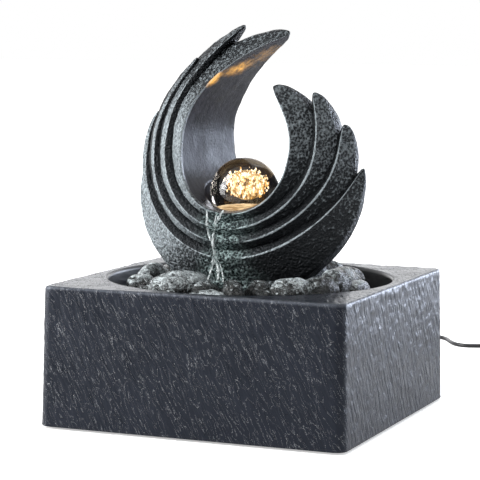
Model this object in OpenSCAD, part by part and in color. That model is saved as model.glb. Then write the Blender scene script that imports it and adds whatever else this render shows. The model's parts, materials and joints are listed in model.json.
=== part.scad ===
// Tabletop water fountain: a square basin with a round bowl, a cast ring of curved
// blades that stands on a rock mound in the bowl, a glass ball over a light, and a pump.
// Millimetres, +Z up, the front faces -Y. The origin is on the table, under the centre.

/* [Basin] */
// Width of the square basin at its top
base_w = 224; // [216:1:260]
// How far each side leans out towards the table
base_draft = 1.8; // [0:0.2:4]
// Height of the deck above the table
base_h = 101; // [92:1:125]
// Thickness of the casing's side walls
wall = 5.5; // [4:0.5:8]
// Thickness of the deck
deck_t = 6; // [4:0.5:9]
// Radius of the upright corners
corner_r = 7.5; // [2:0.5:10]
// Least width of the deck between the bowl and the basin's edge
ledge = 9; // [8:0.5:12]
// Depth of the bowl below the deck
bowl_depth = 71; // [64:1:80]
// Thickness of the bowl
bowl_t = 5; // [3.5:0.5:7]
// How far the bowl's wall draws in by its floor
bowl_taper = 5; // [1:1:8]
// Radius between the bowl's wall and its floor
bowl_fillet = 12; // [8:1:16]
// Rounding where the deck turns down into the bowl
rim_r = 3; // [1:0.5:4]

/* [Underside] */
// Thickness of the bottom plate
plate_t = 3; // [2:0.5:5]
// Clearance around the bottom plate
plate_gap = 0.4; // [0.2:0.1:1]
// Height of a rubber foot
foot_h = 3; // [2.5:0.5:6]
// Radius of a rubber foot
foot_r = 10; // [6:1:12]
// Distance of each foot's centre from the basin's sides
foot_inset = 32; // [28:1:50]
// Distance of each screw from the basin's sides
screw_inset = 15; // [13:0.5:17]
// Radius of a base screw's shank
screw_r = 1.5; // [1:0.25:2]
// Length of a base screw's shank
screw_l = 14; // [8:1:24]
// Radius of a screw boss
boss_r = 5; // [4:0.5:6]

/* [Blade ring] */
// Height of the ring's centre above the deck
ring_rise = 95; // [89:1:104]
// Radius of each blade's front edge below the ring's centre, inner blade first
edge_low = [45.4, 56, 66, 77];
// Radius of each blade's front edge beside the ring's centre
edge_side = [41, 57, 70.5, 84];
// Angle of each blade's left tip, counted up from the bottom
left_tip = [200.5, 178, 149, 108];
// Angle of each blade's right tip, counted up from the bottom
right_tip = [148.5, 127, 103.5, 81];
// Even growth of each left arm's radius above the ring's middle
left_rise = [12, 7.6, -12, -80];
// Late growth of each left arm's radius, which curls its tip
left_curl = [24.7, 46, 83, 0];
// Even growth of each right arm's radius above the ring's middle
right_rise = [-1.2, 12, 25, 0];
// Late growth of each right arm's radius
right_curl = [44, 150, 150, 0];
// Radial width of each blade's face
face_w = [20, 14, 14, 30];
// Share of its face's width that each left arm loses beside the ring
left_slim = [0, 0, 0.4, 0];
// Distance of each blade's back edge behind the ring's axis
back_y = [40, 37, 32, 24];
// How far each blade's back draws in towards the ring's centre
back_in = [0, 1, 3, 3];
// How far the opening narrows from front to back
tunnel_in = 13; // [6:1:14]
// How far each face falls back, as a share of its width
face_fall = [1.1, 1.3, 1.3, 0.5];
// Radial length of the step between one face and the next edge
step_w = 5.6; // [3:0.2:7]

/* [Blade body] */
// Half width of the rounded body that the front edges lie on
body_a = 100.6; // [98:0.2:104]
// Half depth of that body
body_b = 93.7; // [88:0.1:98]
// Half height of that body
body_c = 164.5; // [160:0.5:170]
// Distance of its centre behind the axis
body_y = 45.7; // [43:0.1:48]
// Height of its centre above the deck
body_rise = 44.3; // [41:0.1:49]

/* [Foot and rocks] */
// Half width of the casting's foot
trunk_a = 60; // [56:1:66]
// Half depth of the casting's foot
trunk_b = 38; // [35:1:46]
// Distance of the foot's middle in front of the ring's axis
trunk_y = 2; // [0:0.5:4]
// Drop of the rock mound's flat top below the deck
mound_drop = 5; // [3:0.5:7]
// Thickness of the mound's roof
mound_t = 8; // [6:0.5:9]
// Clearance between the mound's skirt and the curve at the edge of the bowl's floor
skirt_gap = 10; // [9:1:14]
// Thickness of the mound's skirt
skirt_t = 5; // [4:0.5:6]
// Width of each water inlet at the foot of the skirt
inlet_w = 24; // [16:1:30]
// Height of each water inlet
inlet_h = 12; // [9:1:16]
// Number of stones around the back
back_stones = 7; // [6:1:9]

/* [Glass ball and light] */
// Diameter of the glass ball
ball_d = 50; // [46:1:51]
// Distance of the ball and the riser in front of the axis
stem_y = 11; // [10:0.5:12]
// Height of the ball's underside above the deck
ball_rise = 37.5; // [37:0.5:39]
// Clearance between the ball and its dish
dish_gap = 4; // [2:0.5:5]
// Radius of the light's housing
light_r = 19; // [17:0.5:21]
// Height of the light's housing, with its lens
light_h = 16; // [14:1:18]
// Thickness of the light's lens
lens_t = 2.4; // [1.5:0.1:3]
// Radius at which the soft ring carries the ball
seat_r = 13; // [10:0.5:15]
// Number of lamps around the nozzle
lamp_count = 6; // [4:1:8]

/* [Water path] */
// Outer radius of the riser hose
hose_r = 6; // [5.5:0.1:6.5]
// Radius of the bore through the riser hose
hose_bore_r = 4.3; // [4.1:0.1:4.6]
// Running clearance of the hose over the pump's spout
spout_gap = 0.08; // [0.04:0.01:0.1]
// Wall thickness of the pump's spout
spout_t = 1.2; // [0.8:0.1:1.5]
// Height of the pump's spout
spout_h = 18; // [14:1:20]
// Radius of the shaft that holds the hose and the light's lead
stem_bore_r = 11.6; // [11.4:0.1:13]

/* [Pump] */
// Width of the motor block
motor_w = 44; // [42:1:50]
// Length of the motor block
motor_l = 34; // [32:1:40]
// Height of the motor block
motor_h = 40; // [38:1:44]
// Height of a suction cup
cup_h = 5; // [4:0.5:7]
// Radius of a suction cup
cup_r = 7; // [5:0.5:8]
// Radius of the rotor's magnet
magnet_r = 6.4; // [5:0.1:6.6]
// Length of the rotor's magnet
magnet_l = 25; // [20:1:26]
// Clearance around the turning parts
rotor_gap = 0.7; // [0.4:0.1:1]
// Radius of the impeller
impeller_r = 11.5; // [9:0.5:12]
// Number of impeller vanes
vane_count = 6; // [4:1:8]
// Radius of the ceramic shaft
shaft_r = 1; // [0.8:0.1:1.3]
// Running clearance of the rotor on its shaft
shaft_gap = 0.05; // [0.02:0.01:0.09]
// Outer radius of the pump chamber
chamber_r = 15.5; // [14.5:0.5:17]
// Length of the pump chamber
chamber_l = 20; // [19:1:22]
// Radius of the pump's inlet
inlet_r = 7; // [5.5:0.5:9]
// Travel of the intake grille as it is pulled off
grille_travel = 24; // [22:1:26]
// Number of slots in the intake grille
slot_count = 7; // [5:1:9]
// Travel of the flow slider
slider_travel = 6; // [4:1:8]

/* [Cord] */
// Diameter of the low-voltage cord
cord_d = 3.5; // [3:0.5:4]
// Length of the tapered strain relief behind the basin
relief_l = 22; // [20:1:26]
// Radius of the stored coil, at the middle of its turns
coil_r = 20; // [18:1:22]
// Turns of cord side by side in the coil
coil_wide = 3; // [2:1:4]
// Layers of cord in the coil
coil_high = 3; // [2:1:4]
// Length of the plug-in adaptor's body
adaptor_l = 48; // [40:1:60]
// Width of the adaptor's body
adaptor_w = 30; // [26:1:36]
// Height of the adaptor's body
adaptor_h = 26; // [22:1:32]
// Distance between the adaptor's two pins
pin_pitch = 12.7; // [12:0.1:19]

/* [Hidden] */
eps = 0.01;
step_gap = 0.3;

// Basin heights and places
casing_low = 1.5;
bowl_floor = base_h - bowl_depth;
bowl_r = base_w/2 - ledge;
bowl_low_r = bowl_r - bowl_taper;
skirt_r = bowl_low_r - bowl_fillet - skirt_gap;
foot_at = base_w/2 - foot_inset;
screw_at = base_w/2 - screw_inset;
inner_half = base_w/2 - wall - 0.001;
plate_z = foot_h;
boss_z = plate_z + plate_t;
head_h = 1.2;
head_r = 3.5;
grommet_y = skirt_r + 2;
grommet_r = 5;
grommet_flange = 2.4;
exit_z = (boss_z + bowl_floor - bowl_t)/2;
back_wall_y = base_w/2 + base_draft*(base_h - exit_z)/(base_h - casing_low);

// Blade ring: how late each arm's end starts to draw in, and how far its edge turns out there
ring_z = base_h + ring_rise;
body_z = base_h + body_rise;
stations = 40;
left_sharp = [5.5, 3.4, 3.2, 6.7];
right_sharp = [3.2, 3.2, 3.6, 4.8];
left_turn = [0.05, 0.08, 0.18, 0.16];
right_turn = [0.4, 0.27, 0.16, 0.15];
left_reach = 80;
right_reach = 98;
thin = 0.5;

// Foot of the casting
mound_top = base_h - mound_drop;
trunk_cover = 12;
trunk_rise = ring_z - edge_low[0] - trunk_cover - mound_top;
trunk_rings = 7;

// Ball and light heights
ball_r = ball_d/2;
ball_low = base_h + ball_rise;
ball_z = ball_low + ball_r;
light_top = ball_low - 2.5;
light_z = light_top - light_h;
light_gap = 0.3;
board_t = 1.6;
lamp_h = 3;
lamp_r = 2.5;
lamp_ring_r = 12;
nozzle_r = hose_bore_r - 0.1;
nozzle_t = 1;
nozzle_collar = 2;
nozzle_grip = 9;
gasket_r = 1;

// Pump places, along Y from the chamber's front to the motor's back
pump_z = bowl_floor + cup_h + motor_h/2 + 5;
motor_z = bowl_floor + cup_h;
chamber_front = -stem_y - chamber_l/2;
motor_front = chamber_front + chamber_l;
motor_back = motor_front + motor_l;
motor_wall = 3;
cap_t = 3;
sleeve_r = magnet_r + rotor_gap + 1.2;
bore_r = magnet_r + rotor_gap;
bore_l = magnet_l + 3;
bush_r = 3;
bush_l = 2;
front_wall = 2;
spider_r = 4.2;
vane_l = 10;
spout_r = hose_bore_r - spout_gap;
spout_top = pump_z + chamber_r + spout_h;
grille_t = 1.6;
grille_front = chamber_front - 9;
grille_half = chamber_r + 3;
flange_t = 3;
core_t = 12;
core_half = 16;
coil_half = 8;
coil_skin = 3;
slider_t = 1.2;
slider_z = pump_z + 9;
tab_w = 3;

// Leads and plugs inside
lead_r = 1.5;
lead_at = hose_r + 2 + lead_r + 0.2;
pump_lead_r = cord_d/2;
plug_x = -46;
plug_y = -6;
plug_r = 5;
socket_r = 6;
plug_z = bowl_floor + 24;
socket_h = plug_z - step_gap - bowl_floor;

// Route of the cord behind the basin, from its strain relief to the coil
tie_t = 0.6;
coil_x = 121;
coil_y = 392;
coil_z = tie_t + 0.2;
coil_half_w = coil_wide*cord_d/2;
coil_height = coil_high*cord_d;
rest_z = cord_d/2 + 0.05;
exit_y = back_wall_y + relief_l;
cord_route = [[0, back_wall_y - 1, exit_z], [0, exit_y - 11, exit_z], [0, exit_y, exit_z],
    [0, 144, 15], [-1, 154, 14], [-2, 166, 11.5],
    [-4, 179, 7.5], [-6, 192, 4], [-8, 206, rest_z + 0.5], [-11, 224, rest_z], [-13, 246, rest_z],
    [-14, 270, rest_z], [-14, 294, rest_z], [-12, 318, rest_z], [-8, 342, rest_z],
    [-2, 364, rest_z], [6, 382, rest_z], [16, 394, rest_z], [26, 396, rest_z],
    [35, 388, rest_z], [43, 374, rest_z], [51, 363, rest_z], [61, 359, rest_z],
    [71, 362, rest_z], [80, 367, rest_z], [90, 370, rest_z], [100, 370, rest_z],
    [109, 369.5, rest_z], [coil_x, coil_y - coil_r, coil_z + cord_d/2]];
adaptor_x = 172;
adaptor_y = 392;
gland_l = 12;
tail_route = [[coil_x + 11, coil_y - coil_r - 1, coil_z + coil_height - cord_d/2],
    [coil_x + 19, coil_y - 16, adaptor_h/2 - 3], [coil_x + 26, coil_y - 9.5, adaptor_h/2 - 1.8],
    [coil_x + 31, coil_y - 4, adaptor_h/2 - 0.7], [coil_x + 35, coil_y - 0.8, adaptor_h/2 - 0.1],
    [adaptor_x - gland_l - 1.5, adaptor_y, adaptor_h/2], [adaptor_x - gland_l, adaptor_y, adaptor_h/2]];

// Stones: angle from the front, half width in degrees, how far each starts inside the skirt
// and ends outside it, and the height of its top above the deck
stones = [[-77, 20, 18, 5, 6], [-46, 10, 16, 6, 3], [-38, 6, -3, 13, -2],
    [-17, 5, -4, 14, -2], [-26, 9, 32, 6, 11], [1, 13, 12, 16, 0], [13, 6, 14, 11, 6],
    [27, 7, 16, 11, 4], [42, 9, 12, 16, 11], [55, 6, 8, 13, 5], [73, 13, 14, 14, 11],
    [92, 8, 4, 14, 1], [108, 12, 16, 8, 8], [-106, 10, 16, 8, 4]];
stone_foot = base_h - 8;
mound_low = base_h - 19;
mound_inner = mound_top - mound_t;
lip = 2;
mound_points = 96;
mound_steps = 11;

// ---- helpers -------------------------------------------------------------

function arc(cx, cy, r, from, to, n) =
    [for (i = [0:n]) let (a = from + (to - from)*i/n) [cx + r*cos(a), cy + r*sin(a)]];

function unit(v) = v/norm(v);

// Smooths a route: each stretch gets n points on a cubic that passes through the points
function smooth(p, n) = let (last = len(p) - 1) concat([for (i = [0:last - 1], j = [0:n - 1])
    let (t = j/n, a = p[max(i - 1, 0)], b = p[i], c = p[i + 1], d = p[min(i + 2, last)])
    0.5*(2*b + (c - a)*t + (2*a - 5*b + 4*c - d)*t*t + (3*b - a - 3*c + d)*t*t*t)], [p[last]]);

// A closed skin over a list of equal rings of points
module loft(rings) {
    n = len(rings);
    m = len(rings[0]);
    sides = [for (i = [0:n - 2], j = [0:m - 1]) let (k = (j + 1)%m)
        each [[i*m + j, i*m + k, (i + 1)*m + k], [i*m + j, (i + 1)*m + k, (i + 1)*m + j]]];
    ends = [[for (j = [m - 1:-1:0]) j], [for (j = [0:m - 1]) (n - 1)*m + j]];
    polyhedron([for (r = rings) each r], concat(sides, ends));
}

// A round tube along a route; side is a direction that the route never follows
module cord(route, r, side, faces = 8) {
    last = len(route) - 1;
    loft([for (i = [0:last])
        let (t = unit(route[min(i + 1, last)] - route[max(i - 1, 0)]),
            u = unit(cross(side, t)), v = cross(t, u))
        [for (j = [0:faces - 1]) let (a = 360*j/faces) route[i] + r*(u*cos(a) + v*sin(a))]]);
}

module ring(r, bore, h) {
    difference() {
        cylinder(r = r, h = h, $fn = 64);
        translate([0, 0, -1]) cylinder(r = bore, h = h + 2, $fn = 64);
    }
}

module at_stem(z) { translate([0, -stem_y, z]) children(); }

module at_pump(y) { translate([0, y, pump_z]) rotate([-90, 0, 0]) children(); }

module corners(at) { for (x = [-at, at], y = [-at, at]) translate([x, y, 0]) children(); }

module block(x, y, z) {
    translate([x[0], y[0], z[0]]) cube([x[1] - x[0], y[1] - y[0], z[1] - z[0]]);
}

// ---- basin ---------------------------------------------------------------

module square_plan(w, r) {
    union() {
        square([w - 2*r, w], center = true);
        square([w, w - 2*r], center = true);
        corners(w/2 - r) circle(r = r, $fn = 32);
    }
}

module bowl_hollow() {
    tilt = atan(bowl_taper/(bowl_depth - rim_r - bowl_fillet));
    rotate_extrude($fn = 128) polygon(concat([[0, bowl_floor], [0, base_h + 1],
        [bowl_r + rim_r, base_h + 1]], arc(bowl_r + rim_r, base_h - rim_r, rim_r, 90, 180 + tilt, 6),
        arc(bowl_low_r - bowl_fillet, bowl_floor + bowl_fillet, bowl_fillet, tilt, -90, 8)));
}

module bowl_outside() {
    low = bowl_floor - bowl_t;
    rotate_extrude($fn = 128) polygon(concat([[0, low], [0, base_h - eps],
        [bowl_r + bowl_t, base_h - eps]],
        arc(bowl_low_r - bowl_fillet, bowl_floor + bowl_fillet, bowl_fillet + bowl_t, 0, -90, 8)));
}

module base_casing() {
    low_w = base_w + 2*base_draft;
    color("#3b3f47") difference() {
        translate([0, 0, base_h]) mirror([0, 0, 1])
            linear_extrude(base_h - casing_low, scale = low_w/base_w) square_plan(base_w, corner_r);
        difference() {
            block([-inner_half, inner_half], [-inner_half, inner_half], [0, base_h - deck_t]);
            bowl_outside();
            corners(screw_at) translate([0, 0, boss_z]) cylinder(r = boss_r, h = base_h, $fn = 32);
        }
        bowl_hollow();
        corners(screw_at) cylinder(r = screw_r, h = plate_z + screw_l + 2, $fn = 24);
        translate([0, grommet_y, 0]) cylinder(r = grommet_r, h = base_h, $fn = 32);
        translate([0, inner_half - 1, exit_z]) rotate([-90, 0, 0])
            cylinder(r = grommet_r, h = 4*wall, $fn = 32);
    }
}

module base_plate() {
    half = inner_half - plate_gap;
    color("#22242a") difference() {
        block([-half, half], [-half, half], [plate_z, plate_z + plate_t]);
        corners(screw_at) cylinder(r = screw_r + 0.2, h = base_h, $fn = 24);
    }
}

module base_screws() {
    color("silver") corners(screw_at) {
        translate([0, 0, plate_z - head_h]) cylinder(r = head_r, h = head_h, $fn = 32);
        translate([0, 0, plate_z - eps]) cylinder(r = screw_r, h = screw_l, $fn = 24);
    }
}

module rubber_feet() {
    color("#151515") corners(foot_at) cylinder(r = foot_r, h = foot_h, $fn = 48);
}

module floor_grommet() {
    low = bowl_floor - bowl_t - grommet_flange;
    color("#101114") translate([0, grommet_y, 0]) difference() {
        union() {
            translate([0, 0, low]) cylinder(r = grommet_r + 2, h = grommet_flange, $fn = 32);
            translate([0, 0, low]) cylinder(r = grommet_r, h = bowl_t + 2*grommet_flange, $fn = 32);
            translate([0, 0, bowl_floor]) cylinder(r = grommet_r + 2, h = grommet_flange, $fn = 32);
        }
        translate([0, 0, low - 1]) cylinder(r = pump_lead_r, h = 4*bowl_t, $fn = 32);
    }
}

module cord_relief() {
    lead_in = 3;
    color("#101114") translate([0, inner_half - lead_in, exit_z]) rotate([-90, 0, 0]) difference() {
        union() {
            cylinder(r = grommet_r + 2, h = lead_in, $fn = 32);
            cylinder(r = grommet_r, h = back_wall_y - inner_half + lead_in + 1, $fn = 32);
            translate([0, 0, back_wall_y - inner_half + lead_in + 0.2])
                cylinder(r1 = grommet_r + 1, r2 = pump_lead_r + 0.9, h = relief_l - 0.2, $fn = 32);
        }
        translate([0, 0, -1]) cylinder(r = pump_lead_r, h = 4*relief_l, $fn = 32);
    }
}

// ---- blade casting -------------------------------------------------------

function ring_point(r, a, y) = [-r*sin(a), y, ring_z - r*cos(a)];

// Radius of a blade's front edge at an angle counted up from the bottom, left positive
function edge_r(k, a) = let (t = max(0, abs(a) - 95)/100)
    edge_low[k] + (edge_side[k] - edge_low[k])*pow(sin(min(abs(a), 90)), 4)
    + (a > 0 ? left_rise[k]*t + left_curl[k]*pow(t, 4) : right_rise[k]*t + right_curl[k]*pow(t, 4));

// Depth of the rounded body's front at a place in the ring's plane
function front_y(x, z) = body_y
    - body_b*sqrt(max(0.02, 1 - pow(x/body_a, 2) - pow((z - body_z)/body_c, 2)));

// 1 along a blade, falling to 0 at its two tips as a round end does
function fade(k, a) = sqrt(max(0, a > 0 ? 1 - pow(a/left_tip[k], left_sharp[k])
    : 1 - pow(-a/right_tip[k], right_sharp[k])));

// The outer blade's face is widest at the foot and narrows up both sides
function face_width(k, a) = fade(k, a)*face_w[k]
    * (a > 0 ? 1 - left_slim[k]*pow(sin(min(a, 90)), 2) : 1)
    * (k < 3 ? 1 : max(0.12, 1 - pow(abs(a)/(a > 0 ? left_reach : right_reach), 1.9)));

function blade_section(k, a) =
    let (f = max(fade(k, a), 0.03), w = max(face_width(k, a), thin),
        turn = (a > 0 ? left_turn[k] : right_turn[k])*min(face_w[k], face_w[0]),
        r = edge_r(k, a) + turn*(1 - f), b = back_in[k]*f,
        e = ring_point(r, a, 0), y = front_y(e[0], e[2]), back = y + (back_y[k] - y)*f,
        inner = k == 0 ? tunnel_in*f : step_w*f, fall = min(face_fall[k]*w, 0.55*(back - y)),
        wall_y = k == 0 ? 0.45*(back - y) : 0.7*step_w*f)
    [ring_point(r, a, y), ring_point(r + w, a, y + fall),
        ring_point(r + 1.12*w - b/2, a, y + fall + 0.3*(back - y - fall)),
        ring_point(r + 0.8*w - b, a, back - 0.12*(back - y)), ring_point(r + 0.3*w - b, a, back),
        ring_point(r - inner, a, back - 0.02*(back - y)),
        ring_point(r - (k == 0 ? 0.5 : 1)*inner, a, y + wall_y)];

// Sections crowd towards both tips, where the ends turn round
function station(i) = let (t = 2*i/stations - 1) 0.55*t + 0.45*sin(90*t);

module blade(k) {
    loft([for (i = [0:stations]) let (t = station(i))
        blade_section(k, 0.998*t*(t < 0 ? right_tip[k] : left_tip[k]))]);
}

module trunk() {
    loft([for (i = [0:trunk_rings]) let (t = i/trunk_rings, s = 1 - 0.24*t*t)
        [for (j = [0:23])
            [trunk_a*s*cos(15*j), -trunk_y - trunk_b*s*sin(15*j), mound_top + trunk_rise*t]]]);
}

module blade_casting() {
    color("#4a5054") difference() {
        union() {
            for (k = [0:3]) blade(k);
            trunk();
        }
        at_stem(ball_z) sphere(r = ball_r + dish_gap, $fn = 64);
        at_stem(light_z) cylinder(r = light_r + light_gap, h = light_h + ball_r/2, $fn = 64);
        at_stem(0) cylinder(r = stem_bore_r, h = light_z + 1, $fn = 48);
        block([-base_w, base_w], [-base_w, base_w], [0, mound_top]);
    }
}

// ---- rock mound ----------------------------------------------------------

all_stones = concat(stones, [for (i = [0:back_stones - 1])
    [128 + 104*i/(back_stones - 1), 46/back_stones, 18 - 4*(i%2), 8 + 3*(i%3), 2 + 3*(i%3)]]);

function plan(a, r) = [r*sin(a), -r*cos(a)];

// Angle between two directions, -180 to 180
function turn(a, b) = let (d = a - b) d - 360*floor((d + 180)/360);

// Height of the stones' upper surface over a place in the plan
function stone_top(a, r) = max([for (s = all_stones)
    let (u = turn(a, s[0])/s[1], v = (2*(r - skirt_r) + s[2] - s[3])/(s[3] + s[2]))
    stone_foot + (base_h + s[4] - stone_foot)*sqrt(max(0, 1 - u*u*u*u - v*v))]);

// Radius that the stones reach in a direction
function stone_reach(a) = max([for (s = all_stones) let (u = turn(a, s[0])/s[1])
    skirt_r + lip + max(0, s[3] - lip)*sqrt(max(0, 1 - u*u*u*u))]);

module stone_cap() {
    angles = [for (j = [0:mound_points - 1]) -360*j/mound_points];
    foot = [for (a = angles)
        [(trunk_a + step_gap)*sin(a), -trunk_y - (trunk_b + step_gap)*cos(a)]];
    outer = [for (a = angles) plan(a, stone_reach(a))];
    low = [for (a = angles) let (q = plan(a, skirt_r - 1.5)) [q[0], q[1], mound_low]];
    mid = [for (a = angles) let (q = plan(a, (stone_reach(a) + skirt_r + 1)/2))
        [q[0], q[1], mound_low + 2*lip]];
    edge = [for (q = outer) [q[0], q[1], stone_foot - lip]];
    rise = [for (i = [0:mound_steps]) let (s = 1 - 0.98*i/mound_steps)
        [for (j = [0:mound_points - 1]) let (q = foot[j] + (outer[j] - foot[j])*s)
            [q[0], q[1], stone_top(atan2(q[0], -q[1]), norm(q))]]];
    flat = [for (q = foot) [q[0], q[1], mound_top]];
    loft(concat([low, mid, edge], rise, [flat]));
}

module rock_mound() {
    color("#474c4e") difference() {
        union() {
            stone_cap();
            translate([0, 0, bowl_floor])
                cylinder(r = skirt_r, h = mound_low + 2*lip - bowl_floor, $fn = 96);
        }
        translate([0, 0, bowl_floor - 1])
            cylinder(r = skirt_r - skirt_t, h = mound_inner + 1 - bowl_floor, $fn = 96);
        at_stem(0) cylinder(r = stem_bore_r, h = light_z, $fn = 48);
        for (a = [0:90:270]) rotate([0, 0, a])
            block([0, bowl_r], [-inlet_w/2, inlet_w/2], [bowl_floor - 1, bowl_floor + inlet_h]);
    }
}

// ---- ball and light ------------------------------------------------------

module glass_ball() {
    color("lightgrey", 0.4) at_stem(ball_z) sphere(r = ball_r, $fn = 96);
}

module ball_seat() {
    rise = ball_r - sqrt(ball_r*ball_r - seat_r*seat_r);
    color("whitesmoke") difference() {
        at_stem(light_top) ring(seat_r + 3, seat_r - 3, ball_low - light_top + rise);
        at_stem(ball_z) sphere(r = ball_r, $fn = 96);
        for (a = [45:90:315]) at_stem(ball_low - 0.5) rotate([0, 0, a])
            block([0, 30], [-3, 3], [0, 20]);
    }
}

module light_housing() {
    color("#17181b") at_stem(light_z) difference() {
        cylinder(r = light_r, h = light_h, $fn = 64);
        translate([0, 0, -1]) cylinder(r = hose_r, h = light_h + 2, $fn = 48);
        translate([0, 0, 2]) ring(light_r - 2, hose_r + 2, light_h);
        translate([0, lead_at, -1]) cylinder(r = lead_r, h = 4, $fn = 24);
    }
}

module light_lens() {
    color("white", 0.5) at_stem(light_top - lens_t)
        ring(light_r - 2, hose_r + 2, lens_t);
}

module lamp_board() {
    color("darkgreen") at_stem(light_z + 5) difference() {
        ring(light_r - 2.3, hose_r + 2.3, board_t);
        translate([0, lead_at, -1]) cylinder(r = lead_r, h = 4, $fn = 24);
    }
}

module lamps() {
    color("moccasin") at_stem(light_z + 5 + board_t) for (i = [0:lamp_count - 1])
        rotate([0, 0, 30 + 360*i/lamp_count]) translate([lamp_ring_r, 0, 0])
            cylinder(r = lamp_r, h = lamp_h, $fn = 24);
}

module light_gasket() {
    color("#8c1f1a") at_stem(light_top - lens_t - 2*gasket_r) difference() {
        ring(light_r - 2, light_r - 2 - 2*gasket_r, 2*gasket_r);
    }
}

module nozzle() {
    color("goldenrod") at_stem(0) difference() {
        union() {
            translate([0, 0, light_top - 5]) cylinder(r = hose_r, h = 5.5, $fn = 48);
            translate([0, 0, light_top - 5 - nozzle_grip]) cylinder(r = nozzle_r, h = 10, $fn = 48);
        }
        translate([0, 0, light_z - 20]) cylinder(r = nozzle_r - nozzle_t, h = 60, $fn = 48);
    }
}

module riser_hose() {
    low = pump_z + chamber_r + 3;
    color("gainsboro") at_stem(low) ring(hose_r, hose_bore_r, light_top - 5 - low);
}

// ---- pump ----------------------------------------------------------------

module motor_block() {
    half = motor_w/2;
    low = motor_z + motor_wall;
    high = motor_z + motor_h - motor_wall;
    color("#1a1b1e") difference() {
        block([-half, half], [motor_front, motor_back - cap_t], [motor_z, motor_z + motor_h]);
        difference() {
            block([motor_wall - half, half - motor_wall], [motor_front + motor_wall, motor_back],
                [low, high]);
            at_pump(motor_front) cylinder(r = sleeve_r, h = bore_l + motor_wall, $fn = 48);
        }
        at_pump(motor_front - 1) cylinder(r = bore_r, h = bore_l + 1, $fn = 48);
    }
}

module motor_cap() {
    half = motor_w/2;
    color("#1a1b1e") difference() {
        block([-half, half], [motor_back - cap_t, motor_back], [motor_z, motor_z + motor_h]);
        translate([0, motor_back - cap_t - 1, motor_z + 8]) rotate([-90, 0, 0])
            cylinder(r = pump_lead_r, h = cap_t + 2, $fn = 24);
    }
}

module stator_core() {
    low = motor_z + motor_wall + step_gap;
    y = motor_front + 9;
    color("slategray") difference() {
        block([-core_half, core_half], [y, y + core_t], [low + coil_skin, pump_z + 10]);
        at_pump(y - 1) cylinder(r = sleeve_r + step_gap, h = core_t + 2, $fn = 48);
        block([-coil_half - 0.5, coil_half + 0.5], [y - 1, y + core_t + 1],
            [low + coil_skin + 5, low + coil_skin + 9]);
    }
}

module motor_coil() {
    low = motor_z + motor_wall + step_gap;
    y = motor_front + 9;
    color("#b5642b") difference() {
        block([-coil_half, coil_half], [y - coil_skin, y + core_t + coil_skin],
            [low, low + coil_skin + 8]);
        block([-coil_half - 1, coil_half + 1], [y, y + core_t],
            [low + coil_skin, low + coil_skin + 5]);
    }
}

module pump_chamber() {
    color("#232428") difference() {
        union() {
            at_pump(chamber_front) cylinder(r = chamber_r, h = chamber_l, $fn = 64);
            block([-motor_w/2, motor_w/2], [motor_front - flange_t, motor_front],
                [pump_z - chamber_r - 2, pump_z + chamber_r + 2]);
            at_stem(pump_z) cylinder(r = spout_r, h = chamber_r + spout_h, $fn = 48);
        }
        at_pump(chamber_front + front_wall)
            cylinder(r = impeller_r + 1.2, h = chamber_l, $fn = 64);
        at_stem(pump_z) cylinder(r = spout_r - spout_t, h = chamber_r + spout_h + 1, $fn = 48);
        difference() {
            at_pump(chamber_front - 1) cylinder(r = inlet_r, h = front_wall + 2, $fn = 48);
            at_pump(chamber_front) cylinder(r = spider_r, h = front_wall, $fn = 48);
            for (a = [0:120:240]) at_pump(chamber_front) rotate([0, 0, a])
                block([0, inlet_r + 1], [-0.8, 0.8], [0, front_wall]);
        }
        at_pump(chamber_front - 1) cylinder(r = bush_r, h = front_wall + 2, $fn = 32);
    }
}

module intake_grille() {
    low = pump_z - grille_half;
    high = pump_z + grille_half;
    pitch = (2*grille_half - 8)/slot_count;
    rear = motor_front - flange_t - step_gap;
    color("#2a2c30") difference() {
        block([-grille_half - 1, grille_half + 1], [grille_front, rear], [low, high]);
        block([-grille_half + grille_t - 1, grille_half - grille_t + 1],
            [grille_front + grille_t, rear + 1], [low + grille_t, high - grille_t]);
        for (i = [0:slot_count - 1]) let (x = (i - (slot_count - 1)/2)*pitch)
            block([x - 0.9, x + 0.9], [grille_front - 1, grille_front + 4], [low + 5, pump_z + 7]);
        block([-hose_r - 1, hose_r + 1], [-stem_y - hose_r - 1, rear + 1], [pump_z, high + 1]);
        block([-tab_w/2 - 3.8, slider_travel + tab_w/2 - 3], [grille_front - 1, grille_front + 4],
            [slider_z, slider_z + 2.8]);
    }
}

module flow_slider() {
    y = grille_front + grille_t + step_gap;
    color("#55585e") {
        block([-9, 3], [y, y + slider_t], [pump_z - grille_half + 4, slider_z + 4]);
        block([-tab_w/2 - 3.4, tab_w/2 - 3.4], [grille_front - 2, y + eps],
            [slider_z + 0.4, slider_z + 2.4]);
    }
}

module impeller() {
    back = motor_front - 3;
    color("ivory") difference() {
        union() {
            at_pump(back) cylinder(r = impeller_r, h = 1.5, $fn = 48);
            at_pump(back - vane_l) cylinder(r = 3.2, h = vane_l + 1, $fn = 32);
            for (i = [0:vane_count - 1]) at_pump(back - vane_l) rotate([0, 0, 360*i/vane_count])
                block([2, impeller_r], [-0.6, 0.6], [0, vane_l + 0.5]);
        }
        at_pump(back - vane_l - 1) cylinder(r = shaft_r + shaft_gap, h = 30, $fn = 32);
    }
}

module rotor_magnet() {
    color("dimgray") at_pump(motor_front - 1.5) difference() {
        cylinder(r = magnet_r, h = magnet_l, $fn = 48);
        translate([0, 0, -1]) cylinder(r = shaft_r + shaft_gap, h = 2*magnet_l, $fn = 32);
    }
}

module rotor_shaft() {
    color("white") at_pump(chamber_front + 0.5)
        cylinder(r = shaft_r, h = motor_front + bore_l - chamber_front - 1, $fn = 32);
}

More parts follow.
